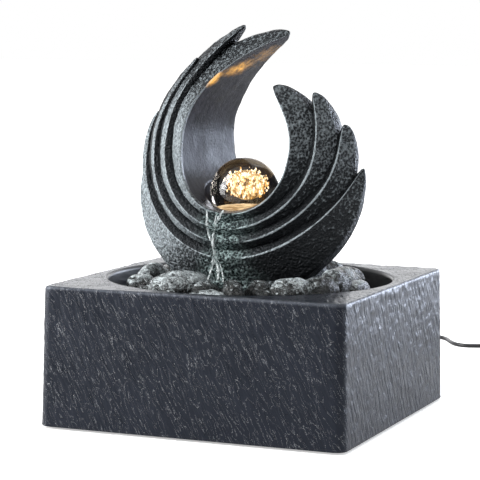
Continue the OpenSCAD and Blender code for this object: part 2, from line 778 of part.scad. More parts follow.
module shaft_bushes() {
    color("#5a5a5a") for (y = [chamber_front, motor_front + bore_l - bush_l]) at_pump(y)
        difference() {
            cylinder(r = bush_r, h = bush_l, $fn = 32);
            translate([0, 0, 0.5 - 1]) cylinder(r = shaft_r, h = bush_l + 1, $fn = 32);
        }
}

module suction_cups() {
    color("#6b6f73") for (x = [-13, 13], y = [motor_front + 8, motor_back - 10])
        translate([x, y, bowl_floor]) rotate_extrude($fn = 32)
            polygon([[0, 1.2], [cup_r - 2, 0.6], [cup_r, 0], [cup_r, 0.7], [3, 3],
                [2.5, cup_h], [0, cup_h]]);
}

// ---- leads ---------------------------------------------------------------

module light_lead() {
    y = lead_at - stem_y;
    top = mound_inner;
    color("#111214") cord(smooth([[0, y, light_z + 4.9], [0, y, light_z - 6], [0, y, top + 12],
        [0, y, top + 4], [-1.5, y, top + 0.6], [-5.5, y, top - 1.9], [-13, y, top - 2.3],
        [-26, y, top - 2.6], [-37, y - 1, top - 6], [plug_x + 2, plug_y + 1, plug_z + 21],
        [plug_x, plug_y, plug_z + 17], [plug_x, plug_y, plug_z + 15],
        [plug_x, plug_y, plug_z + 13]], 3), lead_r, [0, 1, 0]);
}

module lead_plug() {
    color("#1c1d20") translate([plug_x, plug_y, plug_z]) {
        cylinder(r = plug_r, h = 9, $fn = 32);
        translate([0, 0, 8.9]) cylinder(r1 = plug_r, r2 = lead_r + 1, h = 4.1, $fn = 32);
        translate([0, 0, -6]) cylinder(r = plug_r - 1.5, h = 7, $fn = 32);
    }
}

module lead_socket() {
    color("#1c1d20") translate([plug_x, plug_y, bowl_floor]) difference() {
        cylinder(r = socket_r, h = socket_h, $fn = 32);
        translate([0, 0, socket_h - 8]) cylinder(r = plug_r - 1.5 + 0.08, h = 9, $fn = 32);
    }
}

module socket_lead() {
    color("#111214") cord(smooth([[plug_x + socket_r - 1, plug_y, bowl_floor + 4],
        [plug_x + socket_r + 5, plug_y + 2, bowl_floor + 3], [-30, 4, bowl_floor + 4],
        [-motor_w/2 - 3, 8, motor_z + 4], [1 - motor_w/2, 9, motor_z + 5]], 3),
        lead_r, [0, 0, 1]);
}

module pump_lead() {
    z = motor_z + 8;
    low = bowl_floor - bowl_t - grommet_flange;
    color("#111214") cord(smooth([[0, motor_back - cap_t, z], [0, motor_back + 4, z],
        [0, motor_back + 14, z - 2], [0, grommet_y - 19, bowl_floor + 9],
        [0, grommet_y - 9, bowl_floor + 9], [0, grommet_y - 2, bowl_floor + 7.5],
        [0, grommet_y, bowl_floor + grommet_flange], [0, grommet_y, low + 4],
        [0, grommet_y, low], [0, grommet_y + 3, exit_z + 1], [0, grommet_y + 12, exit_z],
        [0, inner_half - 5, exit_z], [0, back_wall_y - 1, exit_z]], 3), pump_lead_r, [1, 0, 0]);
}

// ---- cord and adaptor ----------------------------------------------------

module power_cord() { color("#202124") cord(smooth(cord_route, 2), cord_d/2, [0, 0, 1]); }

module cord_coil() {
    color("#202124") translate([coil_x, coil_y, coil_z]) rotate_extrude($fn = 64)
        translate([coil_r - coil_half_w, 0]) square([2*coil_half_w, coil_height]);
}

module coil_tie() {
    color("#0c0c0d") translate([coil_x, coil_y, 0]) rotate([0, 0, 150])
        rotate_extrude(angle = 16, $fn = 64) difference() {
            translate([coil_r - coil_half_w - tie_t, coil_z - tie_t])
                square([2*(coil_half_w + tie_t), coil_height + 2*tie_t]);
            translate([coil_r - coil_half_w, coil_z]) square([2*coil_half_w, coil_height]);
        }
}

module adaptor_tail() { color("#202124") cord(smooth(tail_route, 3), cord_d/2, [0.3, 0, 1]); }

module adaptor_case() {
    half = adaptor_w/2;
    color("#1b1c1f") difference() {
        union() {
            block([adaptor_x, adaptor_x + adaptor_l], [adaptor_y - half, adaptor_y + half],
                [0, adaptor_h]);
            translate([adaptor_x - gland_l, adaptor_y, adaptor_h/2]) rotate([0, 90, 0])
                cylinder(r1 = cord_d/2 + 0.8, r2 = 5, h = gland_l + 1, $fn = 32);
        }
        for (x = [adaptor_x, adaptor_x + adaptor_l], y = [adaptor_y - half, adaptor_y + half])
            translate([x, y, -1]) rotate([0, 0, 45]) cube([5, 5, 3*adaptor_h], center = true);
    }
}

module adaptor_pins() {
    x = adaptor_x + adaptor_l;
    color("silver") for (y = [-pin_pitch/2, pin_pitch/2])
        block([x, x + 16], [adaptor_y + y - 0.75, adaptor_y + y + 0.75],
            [adaptor_h/2 - 3.2, adaptor_h/2 + 3.2]);
}

base_casing();
base_plate();
base_screws();
rubber_feet();
floor_grommet();
cord_relief();
blade_casting();
rock_mound();
glass_ball();
ball_seat();
light_housing();
light_lens();
lamp_board();
lamps();
light_gasket();
nozzle();
riser_hose();
motor_block();
motor_cap();
stator_core();
motor_coil();
pump_chamber();
intake_grille();
flow_slider();
impeller();
rotor_magnet();
rotor_shaft();
shaft_bushes();
suction_cups();
light_lead();
lead_plug();
lead_socket();
socket_lead();
pump_lead();
power_cord();
cord_coil();
coil_tie();
adaptor_tail();
adaptor_case();
adaptor_pins();
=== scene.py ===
"""A square basin with a round bowl, a ring of cast blades on a heap of stones, a glass ball
over a warm light, thin water over the steps, and a low-voltage cord. Lengths are in
millimetres inside the shape functions and become metres when a mesh is made."""

import json
import math

import bpy
import numpy as np
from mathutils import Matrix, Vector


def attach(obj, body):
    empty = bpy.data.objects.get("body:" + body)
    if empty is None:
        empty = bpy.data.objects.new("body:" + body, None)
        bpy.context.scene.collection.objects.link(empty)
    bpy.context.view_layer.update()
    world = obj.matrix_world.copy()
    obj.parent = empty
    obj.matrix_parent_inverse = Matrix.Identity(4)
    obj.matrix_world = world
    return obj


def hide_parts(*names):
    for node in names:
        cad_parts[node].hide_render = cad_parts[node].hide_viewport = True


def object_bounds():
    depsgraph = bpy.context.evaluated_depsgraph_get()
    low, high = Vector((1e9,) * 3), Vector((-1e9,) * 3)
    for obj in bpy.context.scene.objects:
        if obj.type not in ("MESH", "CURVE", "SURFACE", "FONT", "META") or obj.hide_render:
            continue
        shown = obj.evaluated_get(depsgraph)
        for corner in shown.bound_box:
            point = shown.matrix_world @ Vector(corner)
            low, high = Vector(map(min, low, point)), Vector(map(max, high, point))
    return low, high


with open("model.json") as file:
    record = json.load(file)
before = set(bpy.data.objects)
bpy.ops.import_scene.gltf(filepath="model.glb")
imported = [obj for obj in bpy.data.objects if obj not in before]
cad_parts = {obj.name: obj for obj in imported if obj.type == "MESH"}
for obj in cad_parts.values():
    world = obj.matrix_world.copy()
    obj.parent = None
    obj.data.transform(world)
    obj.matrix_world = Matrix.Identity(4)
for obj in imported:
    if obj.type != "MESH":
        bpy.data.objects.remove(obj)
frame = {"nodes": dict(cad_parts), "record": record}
cad_low, cad_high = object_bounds()

MM = 0.001

# Sizes shared by several pieces
TOP_HALF = 112.0  # half the basin's width at its deck
DRAFT = 1.8  # how much further out each wall stands at its foot
DECK_Z = 101.0
LOW_Z = 1.5  # the walls' lower edge
CORNER_R = 7.5
EDGE_R = 2.0  # rounds the deck's outer edge
LIP_R = 3.0  # rounds the deck into the bowl
WALL = 5.5
BOWL_UNDER = 21.0  # underside of the bowl's floor
BOWL_R = 103.0
BOWL_LOW_R = 98.0
BOWL_FLOOR = 30.0
BOWL_FILLET = 12.0
RING_Z = 196.0
STEM_Y = -11.0  # the hose, the light and the ball stand on one axis, before the middle
BALL = np.array([0.0, STEM_Y, 163.5])
BALL_R = 25.0
DISH_R = 29.0
WELL_R = 19.8  # the well that holds the light, and its floor
WELL_FLOOR = 119.4
MOUND_TOP = 96.0

# The four blades, from the inner one outwards; pairs are the left and the right arms. Angles
# in degrees run from the ring's lowest point up each arm.
EDGE_LOW = (45.4, 56.0, 66.0, 77.0)  # the front edge's radius at the lowest point
EDGE_SIDE = (41.0, 57.0, 70.5, 84.0)  # and beside the ring's middle
TIPS = ((200.5, 178.0, 149.0, 108.0), (148.5, 127.0, 103.5, 81.0))
SHARP = ((5.5, 3.4, 3.2, 6.7), (3.2, 3.2, 3.6, 4.8))  # how late an arm rounds to its tip
RISE = ((12.0, 7.6, -12.0, -80.0), (-1.2, 12.0, 25.0, 0.0))  # even growth above the middle
CURL = ((24.7, 46.0, 83.0, 0.0), (44.0, 150.0, 150.0, 0.0))  # growth by the fourth power
TURN_OUT = ((0.05, 0.08, 0.18, 0.16), (0.4, 0.27, 0.16, 0.15))
FACE = (20.0, 14.0, 14.0, 30.0)  # the face's width
LEFT_SLIM = (0.0, 0.0, 0.4, 0.0)
REACH = (80.0, 98.0)  # where the outer blade's face would narrow to nothing
BACK_Y = (40.0, 37.0, 32.0, 24.0)
BACK_IN = (0.0, 1.0, 3.0, 3.0)  # how far the back lies inside the face
FACE_FALL = (1.1, 1.3, 1.3, 0.5)  # how steeply the face falls back

# The casting's foot: half its length and width, how far it stands to the front, and its height
FOOT_A = 60.0
FOOT_B = 38.0
FOOT_Y = 2.0
FOOT_RISE = 42.6


# ---- numbers ----


def xyz(x, y, z):
    """Points from their three coordinates, each a number or an array."""
    return np.stack(np.broadcast_arrays(x, y, z), axis=-1)


def axes(p):
    """The x, y and z of points as three arrays. What is written to them reaches the points."""
    return np.moveaxis(p, -1, 0)


def unit(v):
    """Vectors of length 1 that point the same way."""
    return v / np.maximum(np.linalg.norm(v, axis=-1, keepdims=True), 1e-9)


def hoop(count):
    """Evenly spaced angles once round, the first one 0."""
    return np.linspace(0, 2 * np.pi, count, endpoint=False)


def climb(x, start, end):
    """0 where x is start, 1 where it's end, a straight line between and level beyond. The end
    may be the lower."""
    return np.clip((x - start) / (end - start), 0, 1)


def bell(x, width):
    """A bell curve: 1 where x is 0, and 1 over e a width away."""
    return np.exp(-((x / width) ** 2))


# ---- camera ----

LENS = 151.2
CAMERA_AT = (0.5467, -1.3502, 0.2839)


def placed(obj, back, place, roll=0.0):
    """Puts an object at a place, its own Z axis along back and its X axis level but for the
    roll."""
    right = unit(np.cross((0, 0, 1), back))
    up = np.cross(back, right)
    matrix = np.eye(4)
    matrix[:3, 0] = right * math.cos(roll) + up * math.sin(roll)
    matrix[:3, 1] = up * math.cos(roll) - right * math.sin(roll)
    matrix[:3, 2], matrix[:3, 3] = back, place
    bpy.context.collection.objects.link(obj)
    obj.matrix_world = matrix.T


def aim_camera():
    """A long lens in front of the object and a little to its right and above, turned by the
    azimuth, tilted by the pitch and rolled by a small angle."""
    azimuth, pitch, roll = (math.radians(a) for a in (22.34, 6.13, 0.43))
    level = math.cos(pitch)
    back = np.array([math.sin(azimuth) * level, -math.cos(azimuth) * level, math.sin(pitch)])
    data = bpy.data.cameras.new("camera")
    data.lens, data.sensor_width = LENS, 36.0
    data.clip_start, data.clip_end = 0.05, 30.0
    camera = bpy.data.objects.new("camera", data)
    placed(camera, back, CAMERA_AT, roll)
    bpy.context.scene.camera = camera


aim_camera()


# ---- repeatable noise ----


def lattice(cell, seed):
    """A repeatable number from 0 to 1 for each lattice point: the fraction left of a large
    multiple of the sine of its mixed indices."""
    mixed = cell @ np.array([127.1, 311.7, 74.7]) + 19.19 * seed
    value = np.sin(mixed) * 43758.5453
    return value - np.floor(value)


def smooth_noise(p, size, seed=0):
    """Noise from -1 to 1: the lattice numbers around each point, blended with smoothed weights."""
    q = p / size
    cell = np.floor(q)
    f = q - cell
    f = f * f * (3 - 2 * f)
    total = np.zeros(p.shape[:-1])
    for corner in np.ndindex(2, 2, 2):
        corner = np.array(corner)
        weight = np.prod(np.where(corner == 1, f, 1 - f), axis=-1)
        total += weight * lattice(cell + corner, seed)
    return 2 * total - 1


def layered(p, size, seed=0, layers=3):
    """A sum of noises, each half the size and half the strength of the one before."""
    return sum(smooth_noise(p, size / 2**i, seed + 7 * i) / 2**i for i in range(layers))


def cells(p, size, seed=0):
    """Distance, in cells, to the nearest of one random point in each lattice cell."""
    q = p / size
    cell = np.floor(q)
    nearest = np.full(p.shape[:-1], 9.0)
    for step in np.ndindex(3, 3, 3):
        c = cell + np.array(step) - 1
        spot = c + np.stack([lattice(c, seed + 3 * k) for k in range(3)], axis=-1)
        nearest = np.minimum(nearest, np.linalg.norm(q - spot, axis=-1))
    return nearest


# ---- meshes ----


def quads(rows, columns, ring=False):
    """Faces between neighbouring rows of a grid whose last column meets its first, and in a
    ring also from its last row to its first."""
    i, j = np.indices((rows if ring else rows - 1, columns)).reshape(2, -1)
    k = (j + 1) % columns
    here, below = i * columns, (i + 1) % rows * columns
    return np.stack([here + j, here + k, below + k, below + j], axis=1).tolist()


def capped_faces(rows, columns):
    """The grid's quads, and a fan from each end row to an extra point."""
    j = np.arange(columns)
    k = (j + 1) % columns
    last, low = (rows - 1) * columns, rows * columns + 0 * j
    fans = [np.stack([low, k, j], axis=1), np.stack([low + 1, last + j, last + k], axis=1)]
    return quads(rows, columns) + np.concatenate(fans).tolist()


def grid_normals(p):
    """Normals of a grid that joins round: the cross product of its two directions."""
    down = np.gradient(p, axis=0)
    across = (np.roll(p, -1, axis=1) - np.roll(p, 1, axis=1)) / 2
    return unit(np.cross(across, down))


def unit_ball(rows, columns, margin):
    """Rows of circles on a ball of radius 1, from a margin in radians short of one pole to as
    far short of the other."""
    v = np.linspace(margin, np.pi - margin, rows)[:, None]
    u = hoop(columns)
    return xyz(np.sin(v) * np.cos(u), np.sin(v) * np.sin(u), np.cos(v))


def whole_ball(rows, columns, margin):
    """Points and faces of a closed ball of radius 1, its two poles the last points."""
    circles = unit_ball(rows, columns, margin)
    points = np.vstack([circles.reshape(-1, 3), (0, 0, 1), (0, 0, -1)])
    return points, capped_faces(rows, columns)


def outward(p, middle):
    """A grid's normals, turned away from its middle."""
    n = grid_normals(p)
    return n if np.sum(n * (p - middle)) > 0 else -n


def closed(p):
    """A grid's points and faces, each end row fanned to an extra point at its middle."""
    points = np.vstack([p.reshape(-1, 3), p[0].mean(axis=0), p[-1].mean(axis=0)])
    return points, capped_faces(*p.shape[:2])


def make_mesh(name, points, faces, fields=None):
    """One object from points in millimetres, its normals turned outwards. fields are numbers
    at each point for its material. Nothing is let past the CAD model's box."""
    mesh = bpy.data.meshes.new(name)
    points = np.clip(np.asarray(points, float) * MM, cad_low, cad_high)
    mesh.from_pydata(points.tolist(), [], faces)
    mesh.validate()
    corner = np.array([f[:3] for f in faces])
    a, b, c = (points[corner[:, i]] for i in range(3))
    if np.einsum("ij,ij->i", a, np.cross(b, c)).sum() < 0:
        mesh.flip_normals()
    for key, values in (fields or {}).items():
        layer = mesh.attributes.new(key, "FLOAT", "POINT")
        layer.data.foreach_set("value", np.asarray(values, np.float32).ravel())
    mesh.shade_smooth()
    made = bpy.data.objects.new(name, mesh)
    bpy.context.collection.objects.link(made)
    return made


def from_grid(name, p, fields=None):
    """One closed object from a grid that joins round, its ends fanned to their middles."""
    spread = {key: np.broadcast_to(v, p.shape[:2]).ravel() for key, v in (fields or {}).items()}
    spread = {key: np.append(v, [v[0], v[-1]]) for key, v in spread.items()}
    return make_mesh(name, *closed(p), spread)


def joined(name, parts):
    """One object from several lists of (points, faces, fields)."""
    points, faces, fields, start = [], [], {}, 0
    for p, f, g in parts:
        points.append(p)
        faces += [[i + start for i in face] for face in f]
        for key, value in g.items():
            fields.setdefault(key, []).append(value)
        start += len(p)
    fields = {key: np.concatenate(value) for key, value in fields.items()}
    return make_mesh(name, np.vstack(points), faces, fields)


# ---- shader arithmetic ----


class Socket:
    """A shader output that adds, subtracts and multiplies like a number."""

    def __init__(self, tree, out):
        self.tree, self.out = tree, out

    def node(self, kind, *values, out=0, named=None, **settings):
        """A new node in the same tree, its inputs linked or set in order or by name."""
        made = self.tree.nodes.new("ShaderNode" + kind)
        for key, value in settings.items():
            setattr(made, key, value)
        for key, value in [*enumerate(values), *(named or {}).items()]:
            if isinstance(value, Socket):
                self.tree.links.new(value.out, made.inputs[key])
            elif value is not None:
                made.inputs[key].default_value = value
        return Socket(self.tree, made.outputs[out])

    def math(self, operation, *values):
        """A Math node on these values."""
        return self.node("Math", *values, operation=operation)

    def __add__(self, other):
        return self.math("ADD", self, other)

    def __radd__(self, other):
        return self.math("ADD", other, self)

    def __sub__(self, other):
        return self.math("SUBTRACT", self, other)

    def __rsub__(self, other):
        return self.math("SUBTRACT", other, self)

    def __mul__(self, other):
        return self.math("MULTIPLY", self, other)

    def __rmul__(self, other):
        return self.math("MULTIPLY", other, self)

    def __abs__(self):
        return self.math("ABSOLUTE", self)


def stretched(p, scale, turn=(0, 0, 0)):
    """Coordinates turned by degrees about X, Y, Z and then scaled along each axis."""
    turned = p.node("Mapping", p, (0, 0, 0), tuple(math.radians(a) for a in turn), (1, 1, 1))
    return p.node("Mapping", turned, (0, 0, 0), (0, 0, 0), scale)


def speckle(p, scale, detail=3.0, rough=0.55, bend=0.0):
    """Cloudy noise from 0 to 1, scale in cycles a metre."""
    named = {"Vector": p, "Scale": scale, "Detail": detail, "Roughness": rough, "Distortion": bend}
    return p.node("TexNoise", named=named)


def dimples(p, scale):
    """Softened distance to the nearest of scattered points, scale in cells a metre."""
    return p.node("TexVoronoi", named={"Vector": p, "Scale": scale}, feature="SMOOTH_F1")


def pushed(p, by, distance):
    """Coordinates moved along all three axes by a value times a distance."""
    step = p.node("VectorMath", by, (distance, distance, distance), operation="MULTIPLY")
    return p.node("VectorMath", p, step, operation="ADD")


def ramp(x, low=0.0, high=1.0, to_low=0.0, to_high=1.0):
    """x carried from one span to another, held at both ends."""
    return x.node("MapRange", x, low, high, to_low, to_high, clamp=True)


def blend(amount, a, b):
    """Colour a where amount is 0, b where it is 1."""
    a, b = ((*c, 1.0) if isinstance(c, tuple) and len(c) == 3 else c for c in (a, b))
    return amount.node("Mix", named={0: amount, 6: a, 7: b}, out=2, data_type="RGBA")


def relief(height, distance, strength=1.0):
    """A bump normal from a height that spans the distance, in metres."""
    return height.node("Bump", named={"Height": height, "Distance": distance, "Strength": strength})


def field(p, name):
    """The number stored at each point under that name."""
    return p.node("Attribute", attribute_name=name, out=2)


def material(name, build=None, **constants):
    """A Principled material. constants are its plain inputs; build gets the Object coordinates
    and returns the varying ones by name."""
    made = bpy.data.materials.new(name)
    made.use_nodes = True
    tree = made.node_tree
    shader = next(n for n in tree.nodes if n.type == "BSDF_PRINCIPLED")
    for key, value in constants.items():
        value = (*value, 1.0) if isinstance(value, tuple) else value
        shader.inputs[key.replace("_", " ")].default_value = value
    if build:
        coordinates = tree.nodes.new("ShaderNodeTexCoord")
        for key, value in build(Socket(tree, coordinates.outputs["Object"])).items():
            tree.links.new(value.out, shader.inputs[key])
    return made


def dress(obj, look):
    """Gives an object one material."""
    obj.data.materials.clear()
    obj.data.materials.append(look)


def finish(obj, body, slot, look, *replaced):
    """Gives a piece its material and its CAD body, and hides the CAD nodes it stands for. slot is not used.
    """
    dress(obj, look)
    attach(obj, body)
    if replaced:
        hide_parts(*replaced)
    return obj


# ---- materials ----


def hammered(p):
    """Painted cast resin: fine hammered wrinkles with black hollows, dry-brushed light flecks
    over the share of the surface that the field light gives, which also holds painted light
    from the left and painted shade in the recesses, and light lines where rim is high, partly
    wear and partly a painted highlight. Where smooth is high there is a plain coat, glossier
    and nearly black where light is low. damp is a dark green wet coat with painted glints, and
    glow is the light thrown up from below."""
    dent = dimples(pushed(p, speckle(p, 330.0, 2.0), 0.0016), 640.0)
    fine = speckle(p, 1500.0, 2.0)
    broad = speckle(p, 210.0, 3.0, 0.5, 0.3)
    cloud = speckle(p, 60.0, 4.0)
    streak = speckle(stretched(p, (1.0, 1.0, 0.25), (0, 25, 0)), 260.0, 4.0)
    share, smooth, damp = field(p, "light"), field(p, "smooth"), field(p, "damp")
    high = dent * 0.62 + fine * 0.42 + (broad - 0.5) * 0.22
    # The flecks follow the field light, which also carries painted light and painted shade
    fleck = ramp(high + share * 0.62, 0.57, 1.02)
    # Light lines along the rims: partly wear of the paint, partly a painted highlight on the edges
    wear_and_highlight = ramp(field(p, "rim") * (0.6 + 0.8 * broad), 0.32, 0.62)
    paint = blend(ramp(fleck + wear_and_highlight), (0.006, 0.007, 0.008), (0.34, 0.385, 0.41))
    brushed_on = ramp(streak * 0.6 + cloud * 0.4, 0.38, 0.64)
    coat = blend(brushed_on, (0.005, 0.005, 0.008), (0.046, 0.045, 0.060))
    coat = blend(ramp(share + (streak - 0.5) * 0.8), (0.002, 0.002, 0.003), coat)
    # Painted glints of the water on the wet front, where its relief stands high and along the light rim
    # lines
    wet_glints = ramp(ramp(high, 0.42, 0.72) + wear_and_highlight * 0.6)
    wet_coat = blend(wet_glints, (0.004, 0.011, 0.011), (0.46, 0.60, 0.59))
    height = (dent * 0.8 + fine * 0.22 + broad * 0.3) * (1.0 - 0.93 * smooth)
    glow = field(p, "glow") * (0.45 + 1.1 * ramp(speckle(p, 260.0, 3.0), 0.35, 0.7))
    wet = damp * 0.45 + smooth * (1.0 - ramp(share)) * 0.4
    return {
        "Base Color": blend(damp, blend(smooth, paint, coat), wet_coat),
        "Roughness": ramp(cloud - wet, -0.1, 0.7, 0.16, 0.52),
        "Normal": relief(height, 0.0021),
        "Emission Color": blend(ramp(glow, 0.06, 0.9), (0.0, 0.0, 0.0), (1.0, 0.50, 0.09)),
    }


CAST = material(
    "cast_resin", hammered, Emission_Strength=1.0,
    Specular_IOR_Level=0.22, Specular_Tint=(0.88, 0.93, 1.0),
)


def weathered(p):
    """Painted stones: light tops over the share that the field light gives, partly dry-brushed
    paint and partly painted light from above, thin dark scratches where a bent, stretched noise
    crosses its middle, dark pits, and darker sides with painted shade."""
    bent = stretched(p, (0.42, 1.0, 1.0), (0, 0, 24))
    scratch = speckle(bent, 430.0, 2.0, 0.55, 1.4)
    crease = 1.0 - ramp(abs(scratch - 0.5), 0.0, 0.06)
    pits = speckle(p, 1500.0, 2.0)
    broad = speckle(p, 190.0, 3.0, 0.5, 0.5)
    share = field(p, "light")
    uneven = (scratch - 0.5) * 1.5 + (broad - 0.5) * 1.5 + (pits - 0.5) * 1.3
    # Light paint on the tops: partly dry-brushed, partly painted light from above
    rubbed_and_top_lit = ramp(share + uneven, 0.24, 0.62)
    paint = blend(rubbed_and_top_lit, (0.006, 0.008, 0.008), (0.56, 0.62, 0.64))
    return {
        "Base Color": blend(crease * 0.85, paint, (0.006, 0.008, 0.008)),
        "Roughness": ramp(broad, 0.2, 0.8, 0.16, 0.42),
        "Normal": relief(broad * 0.9 + scratch * 0.35 + pits * 0.12 - crease * 0.22, 0.0026),
    }


STONE = material("stone_resin", weathered, Specular_IOR_Level=0.5)


def slate(p):
    """Slate-grained paint: low slanting ledges like split stone, where a stretched noise steps
    back at even heights, with painted shade under each ledge and a painted highlight with bright
    spots along its edge, partly speckled paint and partly painted glints. A light line where rim
    is high is partly wear and partly a painted highlight. run and rise are lengths along and up
    the walls."""
    flat = p.node("CombineXYZ", field(p, "run"), field(p, "rise"), 0.0)
    slant = stretched(flat, (1.0, 0.20, 1.0), (0, 0, -27))
    layers = speckle(slant, 250.0, 2.0, 0.5, 0.5) * 6.0
    step = layers.math("FRACT", layers)
    # The upper edge of each ledge, lighter with a painted highlight
    edge = ramp(step, 0.80, 0.95)
    # Just past each step: painted shade under the ledge
    under = 1.0 - ramp(step, 0.0, 0.16)
    patch = ramp(speckle(flat, 150.0, 3.0), 0.40, 0.60)
    pits = speckle(flat, 1100.0, 3.0, 0.6, 0.6)
    swell = speckle(flat, 26.0, 3.0)
    # Bright spots along the ledges' edges: partly speckled paint, partly painted glints
    specks_and_glints = ramp(speckle(flat, 2300.0, 1.0), 0.55, 0.59) * edge * (0.35 + 0.65 * patch)
    height = step * (0.28 + 0.42 * patch) + pits * 0.10
    shade = ramp(pits * 0.3 + swell * 0.7, 0.35, 0.65)
    ground = blend(shade, (0.0030, 0.0040, 0.0075), (0.0065, 0.0080, 0.0135))
    ledges = blend(edge * 0.45, ground, (0.020, 0.023, 0.032))
    ledges = blend(under * 0.9, ledges, (0.002, 0.0025, 0.004))
    # A light line along the deck's edge: partly wear, partly a painted highlight
    wear_and_highlight = ramp(field(p, "rim") * (0.4 + pits), 0.35, 0.9)
    paint = blend(wear_and_highlight * 0.5, ledges, (0.10, 0.11, 0.13))
    return {
        "Base Color": blend(specks_and_glints, paint, (0.38, 0.39, 0.40)),
        "Roughness": ramp(under + shade * 0.2 + specks_and_glints, 0.0, 1.1, 0.27, 0.62),
        "Normal": relief(height, 0.00042),
    }


SLATE = material("slate_resin", slate, Specular_IOR_Level=0.30, Specular_Tint=(0.78, 0.85, 1.0))


def glazed_bowl(p):
    """The bowl's smooth dark coat with faint water marks."""
    cloud = speckle(stretched(p, (1, 1, 4)), 40.0, 4.0)
    return {
        "Base Color": blend(ramp(cloud, 0.35, 0.7), (0.006, 0.007, 0.009), (0.020, 0.022, 0.026)),
        "Roughness": ramp(cloud, 0.3, 0.7, 0.28, 0.45),
        "Normal": relief(cloud, 0.0004),
    }


BOWL = material("bowl_coat", glazed_bowl)


def moulded(dark, light, rough=(0.4, 0.55)):
    """Moulded plastic or rubber: an even colour with a fine grain and slight clouding."""

    def build(p):
        fine = speckle(p, 900.0, 3.0)
        cloud = speckle(p, 45.0, 3.0)
        return {
            "Base Color": blend(ramp(cloud * 0.6 + fine * 0.4, 0.3, 0.7), dark, light),
            "Roughness": ramp(cloud, 0.3, 0.7, *rough),
            "Normal": relief(fine, 0.0002, 0.5),
        }

    return build


def brushed(dark, light, along):
    """Metal with fine lines along one axis."""

    def build(p):
        lines = speckle(stretched(p, along), 700.0, 3.0)
        return {
            "Base Color": blend(ramp(lines, 0.3, 0.7), dark, light),
            "Roughness": ramp(lines, 0.3, 0.7, 0.22, 0.4),
            "Normal": relief(lines, 0.0001, 0.4),
        }

    return build


def wound(p):
    """Enamelled wire: fine even turns across the former."""
    turns = p.node("TexWave", named={"Vector": p, "Scale": 340.0, "Distortion": 0.3}, bands_direction="X")
    return {
        "Base Color": blend(turns, (0.22, 0.06, 0.02), (0.75, 0.30, 0.12)),
        "Roughness": ramp(turns, 0.0, 1.0, 0.3, 0.45),
        "Normal": relief(turns, 0.0003),
    }


def clear(p):
    """Nearly clear moulded plastic with slight surface waviness."""
    fine = speckle(p, 260.0, 3.0)
    return {"Roughness": ramp(fine, 0.3, 0.7, 0.08, 0.22), "Normal": relief(fine, 0.0002, 0.3)}


# Moulded pieces' looks: dark and light colour, then the span of their roughness
MOULDED = {
    "black_plastic": ((0.008, 0.008, 0.009), (0.022, 0.022, 0.025)),
    "cord_rubber": ((0.006, 0.006, 0.007), (0.016, 0.016, 0.018), (0.3, 0.42)),
    "foot_rubber": ((0.012, 0.012, 0.012), (0.03, 0.03, 0.03), (0.6, 0.8)),
    "grey_rubber": ((0.06, 0.065, 0.07), (0.1, 0.105, 0.11), (0.5, 0.7)),
    "board_green": ((0.01, 0.08, 0.03), (0.02, 0.14, 0.05), (0.3, 0.5)),
    "red_rubber": ((0.25, 0.03, 0.02), (0.4, 0.06, 0.04), (0.5, 0.65)),
    "magnet": ((0.05, 0.05, 0.055), (0.11, 0.11, 0.115), (0.4, 0.6)),
    "white_plastic": ((0.62, 0.6, 0.55), (0.78, 0.77, 0.72), (0.3, 0.45)),
    "ceramic_white": ((0.75, 0.75, 0.72), (0.88, 0.88, 0.86), (0.2, 0.3)),
}
# Brushed pieces' looks: dark and light colour, how the lines are stretched, and how metallic
BRUSHED = {
    "gold_plastic": ((0.55, 0.33, 0.08), (0.85, 0.58, 0.2), (1, 1, 6), 1.0),
    "steel": ((0.42, 0.42, 0.43), (0.72, 0.72, 0.72), (1, 8, 8), 1.0),
    "iron": ((0.10, 0.11, 0.12), (0.30, 0.31, 0.33), (1, 12, 1), 0.8),
}
LOOKS = {name: material(name, moulded(*look)) for name, look in MOULDED.items()}
LOOKS |= {name: material(name, brushed(*look), Metallic=metal) for name, (*look, metal) in BRUSHED.items()}
LOOKS |= {
    "clear_plastic": material(
        "clear_plastic", clear, Base_Color=(0.92, 0.94, 0.92), Transmission_Weight=0.85, IOR=1.45
    ),
    "soft_clear": material(
        "soft_clear", clear, Base_Color=(0.9, 0.9, 0.86), Transmission_Weight=0.5, IOR=1.4
    ),
    "lamp_white": material(
        "lamp_white", moulded((0.8, 0.6, 0.3), (1.0, 0.8, 0.45), (0.2, 0.3)),
        Emission_Color=(1.0, 0.72, 0.32), Emission_Strength=6.0,
    ),
    "copper": material("copper", wound, Metallic=0.7),
}


# ---- cord first ----

CORD_NODES = ("power_cord", "cord_coil", "adaptor_tail")
CORD_R = 1.75
CORD_D = 2 * CORD_R
EXIT = np.array([0.0, 135.55, 15.5])
COIL = np.array([121.0, 392.0])
COIL_R = 20.0
COIL_LOW = 0.8  # the coil lies on its tie
LAPS = 8.075  # wound before the cord leaves for the adaptor
LAP_POINTS = 40
ROUTE = [
    EXIT, (0, 144, 15), (-1, 154, 14), (-2, 166, 11.5), (-4, 179, 7.5), (-6, 192, 4), (-8, 206, 2.3),
    (-11, 224, 1.8), (-13, 246, 1.8), (-14, 270, 1.8), (-14, 294, 1.8), (-12, 318, 1.8), (-8, 342, 1.8),
    (-2, 364, 1.8), (6, 382, 1.8), (16, 394, 1.8), (26, 396, 1.8), (35, 388, 1.8), (43, 374, 1.8),
    (51, 363, 1.8), (61, 359, 1.8), (71, 362, 1.8), (80, 367, 1.8), (90, 370, 2), (100, 370, 2.3),
    (109, 369.5, 2.55),
]
TAIL = [
    (140, 376, 10), (147, 382.5, 11.2), (152, 388, 12.3), (156, 391.2, 12.9), (158.5, 392, 13),
    (160, 392, 13), (162, 392, 13),
]


